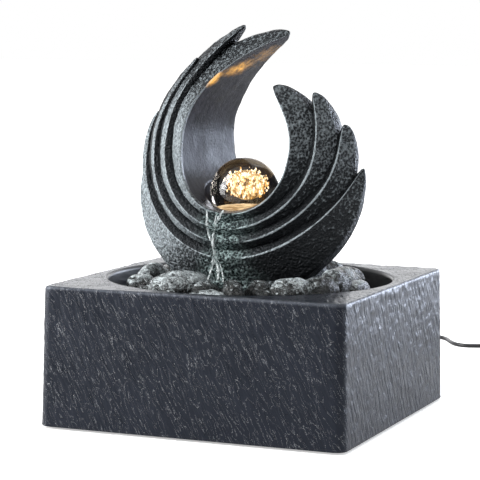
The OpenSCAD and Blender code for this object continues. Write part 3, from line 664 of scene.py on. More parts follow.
def eased(points, per):
    """Points on cubic stretches that pass through all of the given points."""
    q = np.array(points, float)
    q = np.vstack([2 * q[0] - q[1], q, 2 * q[-1] - q[-2]])
    t = np.linspace(0, 1, per, endpoint=False)[None, :, None]
    a, b, c, d = (q[i : len(q) - 3 + i, None] for i in range(4))
    bend, twist = 2 * a - 5 * b + 4 * c - d, 3 * b - a - 3 * c + d
    curve = 0.5 * (2 * b + (c - a) * t + bend * t**2 + twist * t**3)
    return np.vstack([curve.reshape(-1, q.shape[1]), q[-2]])


def coil_turns():
    """Eight laps and the start of a ninth, three side by side in each of three layers: radius
    and height step from one lap's place to the next over its last part, while the angle grows
    evenly."""
    turn = np.arange(round(LAPS * LAP_POINTS) + 1) / LAP_POINTS
    lap = np.floor(turn)
    late = climb(turn - lap, 0.85, 1.0)
    late = late * late * (3 - 2 * late)

    def spot(n):
        layer, column = np.floor(n / 3), n % 3
        column = np.where(layer % 2 == 1, 2 - column, column)
        return (column - 1) * CORD_D, layer * CORD_D + COIL_LOW + CORD_R

    r0, z0 = spot(lap)
    r1, z1 = spot(lap + 1)
    r = COIL_R + r0 + (r1 - r0) * late
    z = z0 + (z1 - z0) * late
    angle = np.radians(-90 + 360 * turn)
    return xyz(COIL[0] + r * np.cos(angle), COIL[1] + r * np.sin(angle), z)


def lay_cord():
    """The one cord from the basin's back, through its coil, to the adaptor."""
    turns = coil_turns()
    ahead, after = eased([*ROUTE, turns[0]], 4), eased([turns[-1], *TAIL], 4)
    path = np.vstack([ahead[:-1], turns, after[1:]])
    path[:, 2] = np.maximum(path[:, 2], CORD_R + 0.02)
    data = bpy.data.curves.new("cord", "CURVE")
    data.dimensions = "3D"
    data.bevel_depth, data.bevel_resolution = CORD_R * MM, 4
    data.use_fill_caps = True
    line = data.splines.new("POLY")
    line.points.add(len(path) - 1)
    line.points.foreach_set("co", np.hstack([path * MM, np.ones((len(path), 1))]).ravel())
    line.use_smooth = True
    made = bpy.data.objects.new("cord", data)
    bpy.context.collection.objects.link(made)
    finish(made, "basin", "cord_rubber", LOOKS["cord_rubber"], *CORD_NODES)


lay_cord()


# ---- basin ----


def square_outline(angle, half, corner):
    """A square with rounded corners: x and y in the direction of each angle from the front."""
    x, y = np.sin(angle), -np.cos(angle)
    reach = half / np.maximum(np.abs(x), np.abs(y))
    px, py = x * reach, y * reach
    inner = half - corner
    over = (np.abs(px) > inner) & (np.abs(py) > inner)
    cx, cy = np.sign(px) * inner, np.sign(py) * inner
    along = x * cx + y * cy
    root = np.sqrt(np.maximum(along**2 - (cx**2 + cy**2 - corner**2), 0))
    reach = np.where(over, along + root, reach)
    return np.array([x * reach, y * reach])


def basin_shell():
    """The basin as one skin: for each direction a profile runs from its underside up the leaning
    wall, over the edge, across the deck, down the bowl and to the middle of its floor."""
    columns = 720
    # Directions crowd evenly along the square's sides, not evenly in angle
    side = (np.arange(columns // 4) + 0.5) / (columns // 4) * 2 - 1
    quarter = np.arctan(side)
    angle = np.concatenate([quarter + q * np.pi / 2 for q in range(4)])
    circle = np.array([np.sin(angle), -np.cos(angle)])
    rows = []

    def square_row(half, z, corner=CORNER_R):
        rows.append(xyz(*square_outline(angle, half, corner), z))

    def circle_row(r, z):
        rows.append(xyz(*circle * r, z))

    inner = TOP_HALF - WALL
    under = BOWL_UNDER
    for half, z in ((20, under), (60, under), (inner - 6, under), (inner, 19), (inner, 8), (inner, 2.2)):
        square_row(half, z, 0.6)
    bottom = TOP_HALF + DRAFT
    for half, z in ((inner + 0.7, LOW_Z), (bottom - 1.2, LOW_Z), (bottom - 0.3, 1.8)):
        square_row(half, z)
    for z in np.linspace(2.6, DECK_Z - 2.2, 58):
        square_row(TOP_HALF + DRAFT * (DECK_Z - z) / (DECK_Z - LOW_Z), z)
    for turn in np.radians(np.linspace(0, 90, 6)):
        inset = EDGE_R * (1 - math.cos(turn))
        square_row(TOP_HALF - inset, DECK_Z - EDGE_R * (1 - math.sin(turn)), CORNER_R - inset)
    edge = square_outline(angle, TOP_HALF - EDGE_R, CORNER_R - EDGE_R)
    for s in np.linspace(0.03, 1.0, 26):
        rows.append(xyz(*edge * (1 - s) + circle * (BOWL_R + LIP_R) * s, DECK_Z))
    for turn in np.radians(np.linspace(12, 92, 7)):
        circle_row(BOWL_R + LIP_R * (1 - math.sin(turn)), DECK_Z - LIP_R * (1 - math.cos(turn)))
    wall_top, wall_low = DECK_Z - LIP_R - 0.3, BOWL_FLOOR + BOWL_FILLET
    for s in np.linspace(0.06, 1.0, 16):
        circle_row(BOWL_R + (BOWL_LOW_R - BOWL_R) * s, wall_top + (wall_low - wall_top) * s)
    for turn in np.radians(np.linspace(10, 90, 8)):
        circle_row(BOWL_LOW_R - BOWL_FILLET * (1 - math.cos(turn)), wall_low - BOWL_FILLET * math.sin(turn))
    for r in (80, 60, 40, 20, 6):
        circle_row(r, BOWL_FLOOR)
    return np.array(rows)


WALL_ROW = 40  # a row of the shell that lies on its outer wall


def wall_lengths(p):
    """Lengths in metres for the paint's grain: round the walls from the middle of the front and
    up them, and on the deck sideways and back from its front edge."""
    x, y, z = axes(p)
    wall = p[WALL_ROW]
    step = np.linalg.norm(np.roll(wall, -1, axis=0) - wall, axis=-1)
    around = np.cumsum(step) - step
    around = around - around[np.argmin(np.hypot(x[WALL_ROW], y[WALL_ROW] + TOP_HALF))]
    whole = step.sum()
    # The count starts over at the back left corner, where its join doesn't show
    around = (around + whole * 3 / 8) % whole - whole * 3 / 8
    deck = z > DECK_Z - 0.6
    return np.where(deck, x, around) * MM, np.where(deck, DECK_Z + TOP_HALF + y, z) * MM


def build_basin():
    """The basin's skin, roughened along its normals: slanting grooves and low swells on the
    outside, and chipped edges. The field rim marks a light line along the deck's edge in the
    paint, partly wear and partly a painted highlight. The bowl's faces get its smooth coat."""
    p = basin_shell()
    x, y, z = axes(p)
    radius, reach = np.hypot(x, y), np.maximum(abs(x), abs(y))
    wall = (z > 3) & (reach > TOP_HALF - 1.5)
    deck = (z > DECK_Z - 1.9) & (radius > BOWL_R + 2.5)
    swell = 0.25 * layered(p, 24.0, 3) + 0.16 * layered(p * np.array([1, 1, 2.2]), 7.0, 5)
    chips = np.minimum(0, smooth_noise(p, 5.0, 9) + 0.35) * 0.25
    # Near the deck's outer edge: more chips, and the rim field for a light line that is partly wear and
    # partly a painted highlight
    edge = bell(z - DECK_Z + 0.8, 2.0) * (reach > TOP_HALF - 4)
    lift = np.where(wall | deck, swell - 0.2 + chips * (0.4 + 1.2 * edge), 0.0)
    p = p + grid_normals(p) * np.minimum(lift, 0.15)[..., None]
    run, rise = wall_lengths(p)
    shell = from_grid("basin_shell", p, {"rim": edge, "run": run, "rise": rise})
    finish(shell, "basin", "base_resin", SLATE, "base_casing")
    shell.data.materials.append(BOWL)
    rows, columns = p.shape[:2]
    middle_z = (z[:-1].mean(axis=1) + z[1:].mean(axis=1)) / 2
    middle_r = (radius[:-1].max(axis=1) + radius[1:].max(axis=1)) / 2
    in_bowl = (middle_r < BOWL_R + 1.2) & (np.arange(rows - 1) > WALL_ROW) & (middle_z < DECK_Z - 0.8)
    # Quads come row by row, then the fan of the underside and the fan of the bowl's floor
    coats = np.concatenate([np.repeat(in_bowl, columns), np.zeros(columns), np.ones(columns)])
    shell.data.polygons.foreach_set("material_index", coats.astype(np.int32))


build_basin()


# ---- blades ----


def sideways(a):
    """The sine of the angle up an arm, held at 1 from the ring's middle up."""
    return np.sin(np.radians(np.minimum(np.abs(a), 90)))


def edge_radius(k, a):
    """Radius of a blade's front edge about the ring's centre: a fourth power of the sine
    carries it from its low radius to its side radius, above the middle it grows evenly, then
    curls, and near a tip it turns out to round the end."""
    past = np.abs(a) - 95
    t = (past + np.hypot(past, 5.0)) / 200
    r = EDGE_LOW[k] + (EDGE_SIDE[k] - EDGE_LOW[k]) * sideways(a) ** 4
    out = min(FACE[k], 20.0) * (1 - fade(k, a))
    grow = [RISE[s][k] * t + CURL[s][k] * t**4 + TURN_OUT[s][k] * out for s in (0, 1)]
    return r + np.where(a > 0, grow[0], grow[1])


def front_depth(x, z):
    """Depth of the rounded body that all the front edges lie on: the near side of an ellipsoid."""
    inside = 1 - (x / 100.6) ** 2 - ((z - 145.3) / 164.5) ** 2
    return 45.7 - 93.7 * np.sqrt(np.maximum(0.02, inside))


def fade(k, a):
    """1 along a blade and 0 at its tips: the root of one less a power of the angle over the
    tip's, so the ends are round."""
    tip = np.where(a > 0, TIPS[0][k], TIPS[1][k])
    power = np.where(a > 0, SHARP[0][k], SHARP[1][k])
    return np.sqrt(np.clip(1 - (np.abs(a) / tip) ** power, 0.0, 1.0))


def face_width(k, a):
    """Radial width of a blade's face: the outer one is widest at the foot and narrows up both
    sides, and a left arm may be slimmer beside the ring."""
    w = FACE[k] * fade(k, a) * np.where(a > 0, 1 - LEFT_SLIM[k] * sideways(a) ** 2, 1.0)
    if k == 3:
        w = w * np.maximum(0.12, 1 - (np.abs(a) / np.where(a > 0, REACH[0], REACH[1])) ** 1.9)
    return np.maximum(w, 0.02)


def section_corners(k, a):
    """The seven corners of a blade's section as (radius, depth): front edge, outer front, outer
    side, outer back, back rim, inner back and inner wall."""
    f = fade(k, a)
    r = edge_radius(k, a)
    w = face_width(k, a)
    turn = np.radians(a)
    y = front_depth(-r * np.sin(turn), RING_Z - r * np.cos(turn))
    back = y + (BACK_Y[k] - y) * f
    deep = back - y
    inner = (13.0 if k == 0 else 5.6) * f
    fall = np.minimum(FACE_FALL[k] * w, 0.55 * deep)
    wall_in, wall = (0.5, 0.45 * deep) if k == 0 else (1.0, 0.7 * inner)
    drawn = BACK_IN[k] * f
    corners = [
        (r, y),
        (r + w, y + fall),
        (r + 1.12 * w - drawn / 2, y + fall + 0.3 * (deep - fall)),
        (r + 0.8 * w - drawn, back - 0.12 * deep),
        (r + 0.3 * w - drawn, back),
        (r - inner, back - 0.02 * deep),
        (r - wall_in * inner, y + wall),
    ]
    return np.array(corners).transpose(2, 0, 1)


def in_dish(p):
    """Moves points inside the ball's dish out to its sphere, and those over the light down to
    its seat."""
    off = p - BALL
    far = np.linalg.norm(off, axis=-1, keepdims=True)
    p = np.where(far < DISH_R, BALL + off / np.maximum(far, 1e-6) * DISH_R, p)
    x, y, z = axes(p)
    z[(np.hypot(x, y - STEM_Y) < WELL_R) & (z > WELL_FLOOR - 0.4) & (z < 146)] = WELL_FLOOR
    return p


# Where the light from below falls on the ring's inside: x, y, z, reach and strength
LIT_SPOTS = (
    (-18.0, -24.0, 245.5, 5.0, 1.0), (-21.0, -24.5, 242.0, 4.0, 0.7), (-6.0, -6.5, 252.2, 6.5, 0.6),
    (-11.0, -14.0, 250.5, 5.0, 0.4), (5.0, 2.0, 259.0, 13.0, 0.16), (15.0, 4.0, 265.0, 10.0, 0.10),
    (6.0, -20.0, 146.0, 17.0, 0.5),
)


def wetted(p):
    """How wet the front is: a bell curve across the water's way, its middle pushed to and fro
    by noise, widening towards the stones."""
    x, y, z = axes(p)
    middle = x + 2.0 + 6.0 * layered(p, 13.0, 23)
    return bell(middle, 13.0 + 5.0 * climb(z, 125, 100)) * climb(y, -18, -24)


# Points along each of the seven runs of a blade's section, from its front edge, and stations
# along the blade
RUNS = (
    (18, 10, 26, 10, 16, 26, 24), (14, 8, 22, 8, 14, 22, 6),
    (14, 8, 22, 8, 14, 22, 6), (26, 10, 18, 12, 14, 22, 6),
)
STATIONS = (250, 230, 200, 170)


def blade_surface(k):
    """A blade swept round the ring: its section's corners joined by straight runs, softened a
    little. Returns the grid of points and each station's angle."""
    s = np.linspace(-1, 1, STATIONS[k])
    s = np.sin(s * math.pi / 2) * 0.55 + s * 0.45
    a = np.where(s < 0, s * TIPS[1][k], s * TIPS[0][k]) * 0.9995
    corners = section_corners(k, a)
    runs = []
    for i, count in enumerate(RUNS[k]):
        t = (np.arange(count) / count)[None, :, None]
        runs.append(corners[:, i, None] * (1 - t) + corners[:, (i + 1) % 7, None] * t)
    sharp = np.concatenate(runs, axis=1)
    ring = sharp
    for _ in range(3):
        ring = 0.25 * np.roll(ring, 1, axis=1) + 0.5 * ring + 0.25 * np.roll(ring, -1, axis=1)
    r, y = np.moveaxis(0.35 * sharp + 0.65 * ring, -1, 0)
    turn = np.radians(a)[:, None]
    return xyz(-r * np.sin(turn), y, RING_Z - r * np.cos(turn)), a[:, None]


def blade_light(k, z, angle, index):
    """The share of each part of a blade that the dry-brushed flecks cover, with painted light and
    shade in it: many on the left arms, partly as painted light from the left, fewer on the right
    ones, fewer low down, and painted shade in the hollows."""
    face, edge = RUNS[k][:2]
    # More flecks on the left arms than on the right: partly painted light from the left
    left = 0.10 + 0.50 * climb(angle, 6, 40) - 0.42 * climb(angle, 105, 145)
    right = -0.14 + 0.42 * climb(angle, -30, -90)
    light = np.where(angle > 0, left, right) + 0 * z
    # Behind the face all is dark where a further blade shades it, and so is the outer part of
    # the middle blades' faces on the left
    light = np.where(index > face + edge, 0.75 * light, light)
    if k == 3:
        # The outer blade gets darker towards the bottom
        light = light - 0.18 * climb(z, 128, 108)
    else:
        side = (index > face + 1) & (index < face + edge + RUNS[k][2] // 3)
        light = np.where(side, -0.3, light)
    if k in (1, 2):
        shaded = climb(index / face, 0.45, 0.70) * (index <= face)
        shaded = shaded * climb(angle, 25, 45) * climb(angle, TIPS[0][k] - 12, TIPS[0][k] - 37)
        light = light * (1 - shaded) - 0.3 * shaded
    return light


def build_blade(k):
    """One blade, dimpled along its normals, with the fields that its paint needs."""
    p, angle = blade_surface(k)
    n = outward(p, p.mean(axis=1, keepdims=True))
    total = sum(RUNS[k])
    index = np.arange(total)[None, :]
    inner_side = index > total - sum(RUNS[k][5:])
    lining = inner_side & (k == 0)
    dents = cells(p, 5.2, 11 + k)
    bumps = 0.30 * (0.55 - np.minimum(dents, 0.9)) + 0.30 * layered(p, 9.0, 31 + k)
    bumps = np.where(lining, 0.25 * bumps, bumps)
    to_edge = np.minimum(index, total - index)
    to_outer = np.abs(index - RUNS[k][0])
    # Light lines along the edges, partly wear and partly a painted highlight, stronger on the right arms
    # where light from the left catches them
    rim = bell(to_edge, 0.8) * (0.55 + 0.65 * climb(angle, -2, -22)) + 0.35 * bell(to_outer, 2.0)
    rim = rim * (0.85 + 0.3 * layered(p, 12.0, 77)) * np.clip(np.abs(angle) / 9 - 0.2, 0.3, 1)
    light = blade_light(k, p[..., 2], angle, index)
    damp = wetted(p) * climb(p[..., 2], 157, 153)
    thick = climb(fade(k, angle), 0, 1 / 3)
    p = in_dish(p + n * (bumps * thick)[..., None])
    z = p[..., 2]
    z[:] = np.maximum(z, MOUND_TOP + 0.05)
    glow = np.zeros(p.shape[:2])
    for *place, reach, strength in LIT_SPOTS:
        far = np.linalg.norm(p - np.array(place), axis=-1)
        glow += strength * bell(far, reach)
    # In the lining light grows with height: dark by the dish, lighter over the ball
    lighter_upwards = 0.10 + climb(z, 150, 184)
    # The inner walls of the other blades get painted shade
    light = np.where(inner_side, lighter_upwards if k == 0 else -0.35, light)
    fields = {
        "rim": rim, "glow": np.where(lining, glow, 0.0), "light": light,
        "damp": np.where(lining, 0.0, damp), "smooth": 1.0 * (lining & (to_edge > 2)),
    }
    return finish(from_grid(f"blade_{k + 1}", p, fields), "sculpture", "fountain_resin", CAST)


def build_foot():
    """The casting's foot: an ellipse that draws in with the square of its height, lumpy like
    the stones it stands among."""
    low, high = MOUND_TOP + 0.02, MOUND_TOP + FOOT_RISE - 0.8
    z = np.append(low, np.linspace(MOUND_TOP + 0.3, high, 46))[:, None]
    a = hoop(220)
    s = 1 - 0.24 * ((z - MOUND_TOP) / FOOT_RISE) ** 2
    p = xyz((FOOT_A - 0.4) * s * np.cos(a), (FOOT_B - 0.4) * s * np.sin(a) - FOOT_Y, z)
    n = outward(p, np.array([0, -FOOT_Y, MOUND_TOP + 20]))
    lumps = 0.9 * layered(p, 15.0, 51) - 0.7 * np.minimum(cells(p, 7.0, 53), 0.9)
    lumps = np.minimum(lumps, 0.2) * climb(z, MOUND_TOP, MOUND_TOP + 3)
    p = in_dish(p + n * lumps[..., None])
    p[..., 2] = np.maximum(p[..., 2], low)
    # The flecks grow towards the left: partly dry-brushed paint, partly painted light from the left
    light = 0.36 + 0.24 * climb(p[..., 0], 0, -30)
    fields = {"rim": 0.0, "glow": 0.0, "light": light, "damp": wetted(p), "smooth": 0.0}
    finish(from_grid("blade_foot", p, fields), "sculpture", "fountain_resin", CAST)


blades = [build_blade(k) for k in range(4)]
build_foot()
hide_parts("blade_casting")


# ---- stones ----

# Stones: x, y, length, width, top height, turn in degrees, then how far the ends droop, how far
# the top leans over to the front in degrees, and how craggy it is
STONES = [
    (-67, -24, 48, 15, 110, 80, 9, 0, 0), (-66, -44, 24, 15, 104, 40, 0, 10, 0),
    (-56, -62, 15, 11, 99, 10, 0, 0, 0.3), (-27, -81, 12, 8, 99, 0, 0, 0, 0),
    (-29, -58, 50, 22, 110, 36, 3, 24, 0.15), (2, -79, 34, 18, 100.5, 2, 0, 0, 0),
    (17, -72, 24, 14, 107, -50, 0, 0, 1.0), (30, -58, 22, 16, 107, -40, 0, 0, 1.0),
    (39, -70, 17, 14, 102, -30, 0, 0, 0.8), (55, -60, 30, 24, 111, 30, 0, 0, 0),
    (70, -46, 30, 20, 109, 55, 0, 0, 0.7), (75, -24, 32, 22, 113, 84, 0, 0, 0.4),
    (86, -10, 26, 15, 104, 84, 0, 0, 0), (64, 23, 40, 21, 109, 112, 0, 0, 0.2),
    (-69, 22, 32, 20, 105, 70, 0, 0, 0), (-76, -30, 16, 12, 100, 100, 0, 0, 0.2),
    (-8, -67, 22, 15, 105, 70, 0, 0, 0.9), (45, -50, 18, 14, 105, 10, 0, 0, 0.6),
    (82, 10, 18, 14, 100, 100, 0, 0, 0), (-79, 5, 14, 11, 99, 90, 0, 0, 0),
]
STONE_LOW = 84  # the undersides of all the stones, inside the heap


def all_stones():
    """The stones as listed, and nine more round the back with sizes that repeat."""
    row = []
    for i in range(9):
        turn = 118 + 124 * i / 8
        a, r, kind = math.radians(turn), 71 + 5 * (i % 2), i % 3
        size = (25 + 5 * kind, 18 + 3 * (i % 2), 103 + 3 * kind)
        row.append((r * math.sin(a), -r * math.cos(a), *size, turn - 90, 0, 0, 0.2 * kind))
    return STONES + row


def stone(i, x, y, length, width, top, turn, droop, lean, crag):
    """A boulder: a ball squared off by a power, scaled, roughened by layered noise, its ends
    lowered by the square of their distance, then leaned and turned."""
    ball = unit_ball(40, 64, 0.02)
    half = np.array([length, width, top - STONE_LOW]) / 2
    p = np.sign(ball) * np.abs(ball) ** 0.84 * half
    p = p * (1 + 0.10 * layered(ball * 10 + 40 * i, 9.0, i)[..., None])
    n = unit(ball / half)
    place = p + 90 * i
    chips = np.minimum(cells(place, 4.0 + 3.0 * crag, 5), 0.9)
    lumps = (0.35 + 0.5 * crag) * layered(place, 5.0, 3) - (0.25 + 2.2 * crag) * chips + crag
    p = p + n * lumps[..., None]
    p[..., 2] -= droop * (p[..., 0] / half[0]) ** 2
    # Painted light from above: light is higher where a normal points up, lower on the sides and underneath,
    # and lower on craggy stones
    light = climb(n[..., 2], -0.375, 0.875) * (1 - 0.45 * crag)
    c, s = math.cos(math.radians(lean)), math.sin(math.radians(lean))
    p = p @ np.array([[1, 0, 0], [0, c, s], [0, -s, c]])
    c, s = math.cos(math.radians(turn)), math.sin(math.radians(turn))
    p = p @ np.array([[c, s, 0], [-s, c, 0], [0, 0, 1]])
    p = p + np.array([x, y, (top + STONE_LOW) / 2])
    # The casting's foot stays clear: a stone is pressed back to just outside its ellipse
    x, y, z = axes(p)
    q = np.hypot(x / (FOOT_A + 0.4), (y + FOOT_Y) / (FOOT_B + 0.4))
    push = np.where((q < 1) & (q > 0.3), 1 / np.maximum(q, 0.3), 1.0)
    x *= push
    y[:] = (y + FOOT_Y) * push - FOOT_Y
    light = -0.3 + 1.08 * light * np.clip(0.8 + 0.4 * layered(p, 8.0, 4), 0, 1)
    light = np.append(light.ravel(), [light[0].mean(), light[-1].mean()])
    return *closed(p), {"light": light}


SKIRT_R, SKIRT_IN = 76, 71  # the mound's skirt, outside and inside
HOSE_R = 11.6
INLETS = 4
INLET_TURN = math.asin(12 / 74)  # half an inlet is 12 wide, 74 from the axis


def mound():
    """The hollow heap under the stones: a skirt, a shoulder and a flat top around the hose's
    hole, with four water inlets as notches in the skirt's lower edge."""
    a = hoop(480)
    apart = 2 * np.pi / INLETS
    off_inlet = np.abs((a + apart / 2) % apart - apart / 2)
    low = np.where(off_inlet < INLET_TURN, 42.1, 30.1)

    def row(r, z, shift=0.0):
        return xyz(r * np.sin(a), STEM_Y * shift - r * np.cos(a), z)

    top = ((HOSE_R, 96, 1), (20, 95.9, 0.9), (40, 95.8, 0.3), (60, 95.4), (68, 94), (73, 91))
    outside = [*top, *((SKIRT_R, z) for z in (86, 78, 66, 54, 44))]
    inside = [*((SKIRT_IN, z) for z in (44, 54, 66, 80)), (70, 87), (40, 88, 0.3), (HOSE_R, 88, 1)]
    bevel = np.minimum(low + 1, 43.5)
    edge = [row(SKIRT_R, bevel), row(SKIRT_R - 0.6, low), row(SKIRT_IN + 0.6, low), row(SKIRT_IN, bevel)]
    p = np.array([*(row(*x) for x in outside), *edge, *(row(*x) for x in inside)])
    x, y, z = axes(p)
    z += np.minimum(0.5 * layered(p, 11.0, 61) * (z > 88.5) * (np.hypot(x, y) > 66), 0.3)
    points = p.reshape(-1, 3)
    return points, quads(*p.shape[:2], ring=True), {"light": np.full(len(points), -0.1)}


heap = joined("stones", [stone(i, *s) for i, s in enumerate(all_stones())])
finish(heap, "sculpture", "stone_resin", STONE, "rock_mound")
finish(joined("stone_skirt", [mound()]), "sculpture", "stone_resin", STONE)


# ---- ball, light and water ----


def smoky(p):
    """Clear glass with a few seeds near its surface and faint water marks."""
    marks = speckle(p, 130.0, 3.0)
    return {"Roughness": ramp(marks, 0.45, 0.75, 0.0, 0.06), "Normal": relief(marks, 0.00025, 0.35)}


GLASS = material(
    "smoky_glass", smoky, Base_Color=(0.56, 0.52, 0.47), Transmission_Weight=1.0, IOR=1.47,
    Specular_IOR_Level=1.0,
)
ball_points, ball_faces = whole_ball(72, 128, 0.015)
glass_ball = make_mesh("glass_ball_skin", ball_points * BALL_R + BALL, ball_faces)
finish(glass_ball, "ball", "clear_glass", GLASS, "glass_ball")


def water_look(p):
    """Thin moving water: clear, with small ripples and long white streaks, partly frothy water and partly
    painted highlight.
    """
    ripple = speckle(stretched(p, (1.0, 1.0, 0.3)), 520.0, 4.0, 0.6, 0.8)
    # White streaks: partly froth on the water, partly painted highlight
    foam_and_highlight = ramp(ripple, 0.46, 0.62)
    return {
        "Base Color": blend(foam_and_highlight, (0.30, 0.36, 0.36), (0.80, 0.85, 0.86)),
        "Roughness": ramp(ripple, 0.3, 0.7, 0.04, 0.22),
        "Normal": relief(ripple, 0.0012, 0.9),
        "Alpha": ramp(ripple, 0.42, 0.60, 0.08, 0.9),
    }


WATER = material("water", water_look, IOR=1.33, Specular_IOR_Level=0.8)


def glint(p):
    """The lit pool: gold light broken by ripples."""
    ripple = speckle(p, 260.0, 4.0, 0.6, 1.2)
    spark = ramp(ripple, 0.52, 0.66) * field(p, "lit")
    return {
        "Emission Color": blend(spark, (0.02, 0.01, 0.0), (1.0, 0.74, 0.3)),
        "Roughness": ramp(ripple, 0.3, 0.7, 0.02, 0.1),
        "Normal": relief(ripple, 0.002, 0.8),
    }


POOL = material(
    "lit_pool", glint, Base_Color=(0.05, 0.05, 0.05), Transmission_Weight=0.3, IOR=1.33,
    Emission_Strength=1.2,
)


def pool():
    """The water held in the dish round the ball: a thin ring, its level just under the lip."""
    a = hoop(160)
    section = (
        (21.9, 149.2), (21.9, 150.6), (22.6, 151.0), (24.0, 150.9), (25.6, 150.9), (26.4, 150.7),
        (26.4, 149.4),
    )
    rows = []
    for r, z in section:
        circle = xyz(r * np.cos(a), r * np.sin(a), 0)
        wave = 0.25 * smooth_noise(circle, 4.0, 8) * (z > 150.2)
        rows.append(circle + xyz(0, STEM_Y, z + wave))
    p = np.array(rows)
    points = p.reshape(-1, 3)
    lit = climb(points[:, 0], -14, -6) * climb(points[:, 1], -18, -26)
    return make_mesh("dish_water", points, quads(*p.shape[:2], ring=True), {"lit": lit})


finish(pool(), "sculpture", "clear_glass", POOL)


def beads():
    """Lit beads of water and air seen in the ball: small balls scattered through a low round
    cloud near its middle."""
    rng = np.random.default_rng(5)
    count = 560
    way = unit(rng.normal(size=(count, 3)))
    far = rng.uniform(0.25, 1.0, (count, 1)) ** 0.6
    spot = way * far * (12.5, 9.0, 8.2) + BALL + (1.5, 0.0, 4.3)
    size = rng.uniform(0.15, 0.52, (count, 1))
    tone = rng.uniform(0, 1, count)
    size = size * (np.ones(3) + rng.uniform(0, 1.2, (count, 1)) * (0.0, 0.0, 1.0))
    bead, faces = whole_ball(6, 10, 0.25)
    each = zip(size, spot, tone)
    return joined("ball_beads", [(bead * r + c, faces, {"tone": np.full(len(bead), t)}) for r, c, t in each])


def bead_light(p):
    """Beads from dull amber to nearly white."""
    tone = field(p, "tone")
    return {"Emission Color": blend(ramp(tone, 0.2, 0.75), (0.40, 0.20, 0.05), (1.0, 0.90, 0.68))}


BEADS = material(
    "bead_light", bead_light, Base_Color=(0.6, 0.45, 0.2), Roughness=0.1, Emission_Strength=2.6
)
finish(beads(), "ball", "clear_glass", BEADS)


def haze(p):
    """The lit mist between the beads, broken into patches."""
    patch = speckle(p, 210.0, 4.0, 0.65, 1.0)
    return {
        "Emission Color": blend(ramp(patch, 0.45, 0.62), (0.10, 0.05, 0.01), (0.85, 0.55, 0.18)),
        "Alpha": ramp(patch, 0.40, 0.66, 0.12, 0.85),
    }


def streaked(p):
    """The lit seat's cream and gold light in long level streaks."""
    streak = speckle(stretched(p, (0.25, 0.25, 3.0)), 420.0, 4.0, 0.6, 0.6)
    return {"Emission Color": blend(ramp(streak, 0.42, 0.64), (0.22, 0.11, 0.03), (1.0, 0.80, 0.50))}


STREAKED = material(
    "low_glow", streaked, Base_Color=(0.2, 0.15, 0.08), Roughness=0.4, Emission_Strength=1.7
)
HAZE = material("ball_haze", haze, Base_Color=(0.25, 0.15, 0.05), Roughness=0.5, Emission_Strength=0.8)
# The lit seat as it shows through the ball, a flat round body low in it, and the lit mist near
# the ball's middle: rows of their grids, half sizes, then where they lie from the middle
for name, rows, half, place, look in (
    ("ball_low_glow", 24, (16.0, 13.0, 3.6), (0.0, 0.0, -9.4), STREAKED),
    ("ball_haze", 40, (9.5, 6.0, 7.5), (1.0, 0.0, 3.5), HAZE),
):
    body = from_grid(name, unit_ball(rows, 64, 0.03) * half + BALL + place)
    finish(body, "ball", "clear_glass", look)


# Strands of water, as x, z, how far they stand before the blades' front edges, and half width
STRANDS = (
    ((-14.4, 152.6, 0.2, 0.9), (-13.8, 146, 1.2, 1.3), (-13.0, 138.8, 1.0, 1.1), (-11.0, 133, 1.2, 1.3),
     (-8.9, 128.3, 1.2, 1.0), (-8.6, 119.1, 1.6, 1.3), (-9.6, 111, 4.0, 1.7), (-10.2, 104, 10.0, 1.3)),
    ((-0.9, 153.4, 0.2, 1.3), (-3.0, 149.5, 1.3, 1.7), (-5.7, 144.8, 1.2, 1.4), (-7.6, 138, 1.4, 1.2),
     (-9.1, 131.8, 1.4, 1.5), (-7.4, 122, 1.6, 1.8), (-5.1, 114.4, 3.0, 1.7), (-3.0, 108, 6.5, 1.5),
     (-2.2, 103, 11.5, 1.2)),
    ((-7.0, 121, 1.8, 0.7), (-3.0, 114.4, 2.6, 1.0), (0.8, 107, 7.5, 0.8), (2.2, 103, 11.5, 0.8)),
    ((-6.0, 152.2, 0.2, 0.5), (-7.0, 147, 1.0, 0.7), (-8.2, 140, 1.2, 0.6), (-9.0, 132.5, 1.3, 0.8)),
)


def strand(i, places):
    """One ribbon of running water: a flat oval section swept down through its places, its width
    and edges uneven."""
    path = eased(places, 26)
    x, z, ahead, half = path.T
    y = front_depth(x, z) - ahead
    centre = xyz(x, y, z)
    along = unit(np.gradient(centre, axis=0))
    across = unit(np.cross(along, (0.0, -1.0, 0.0)))
    front = np.cross(across, along)
    turn = hoop(20)
    s = np.linspace(0, 1, len(path))[:, None]
    ends = np.clip(np.minimum(s, 1 - s) * 14, 0.12, 1.0) ** 0.5
    wave = layered(xyz(2 * np.cos(turn), 2 * np.sin(turn) + 9 * i, 60 * s), 2.6, 70 + i)
    wide = 0.62 * half[:, None] * ends * (1 + 0.6 * wave)
    deep = 0.40 * ends * (1 + 0.5 * wave)
    sideways_off = across[:, None] * (wide * np.cos(turn))[..., None]
    p = centre[:, None] + sideways_off + front[:, None] * (deep * np.sin(turn))[..., None]
    return *closed(p), {}


running = joined("running_water", [strand(i, s) for i, s in enumerate(STRANDS)])
finish(running, "sculpture", "clear_glass", WATER)


# ---- CAD pieces that show as they are ----

slots = {s["node"]: s["material_slot"] for s in frame["record"]["subparts"]}
replaced = {"base_casing", "blade_casting", "rock_mound", "glass_ball", *CORD_NODES}
for name, obj in frame["nodes"].items():
    if name not in replaced:
        dress(obj, LOOKS[slots[name]])


# ---- floor, light and world ----


def backdrop(p):
    """The floor's own light, for the camera's rays only: grey round the object, white further
    off, so that the floor meets the background without a line."""
    far = p.node("VectorMath", p, operation="LENGTH", out=1)
    seen = p.node("LightPath", out=0)
    lit = ramp(far, 0.1, 0.6, 0.45, 1.0) * seen
    return {"Emission Color": blend(lit, (0.0, 0.0, 0.0), (1.0, 1.0, 1.0))}


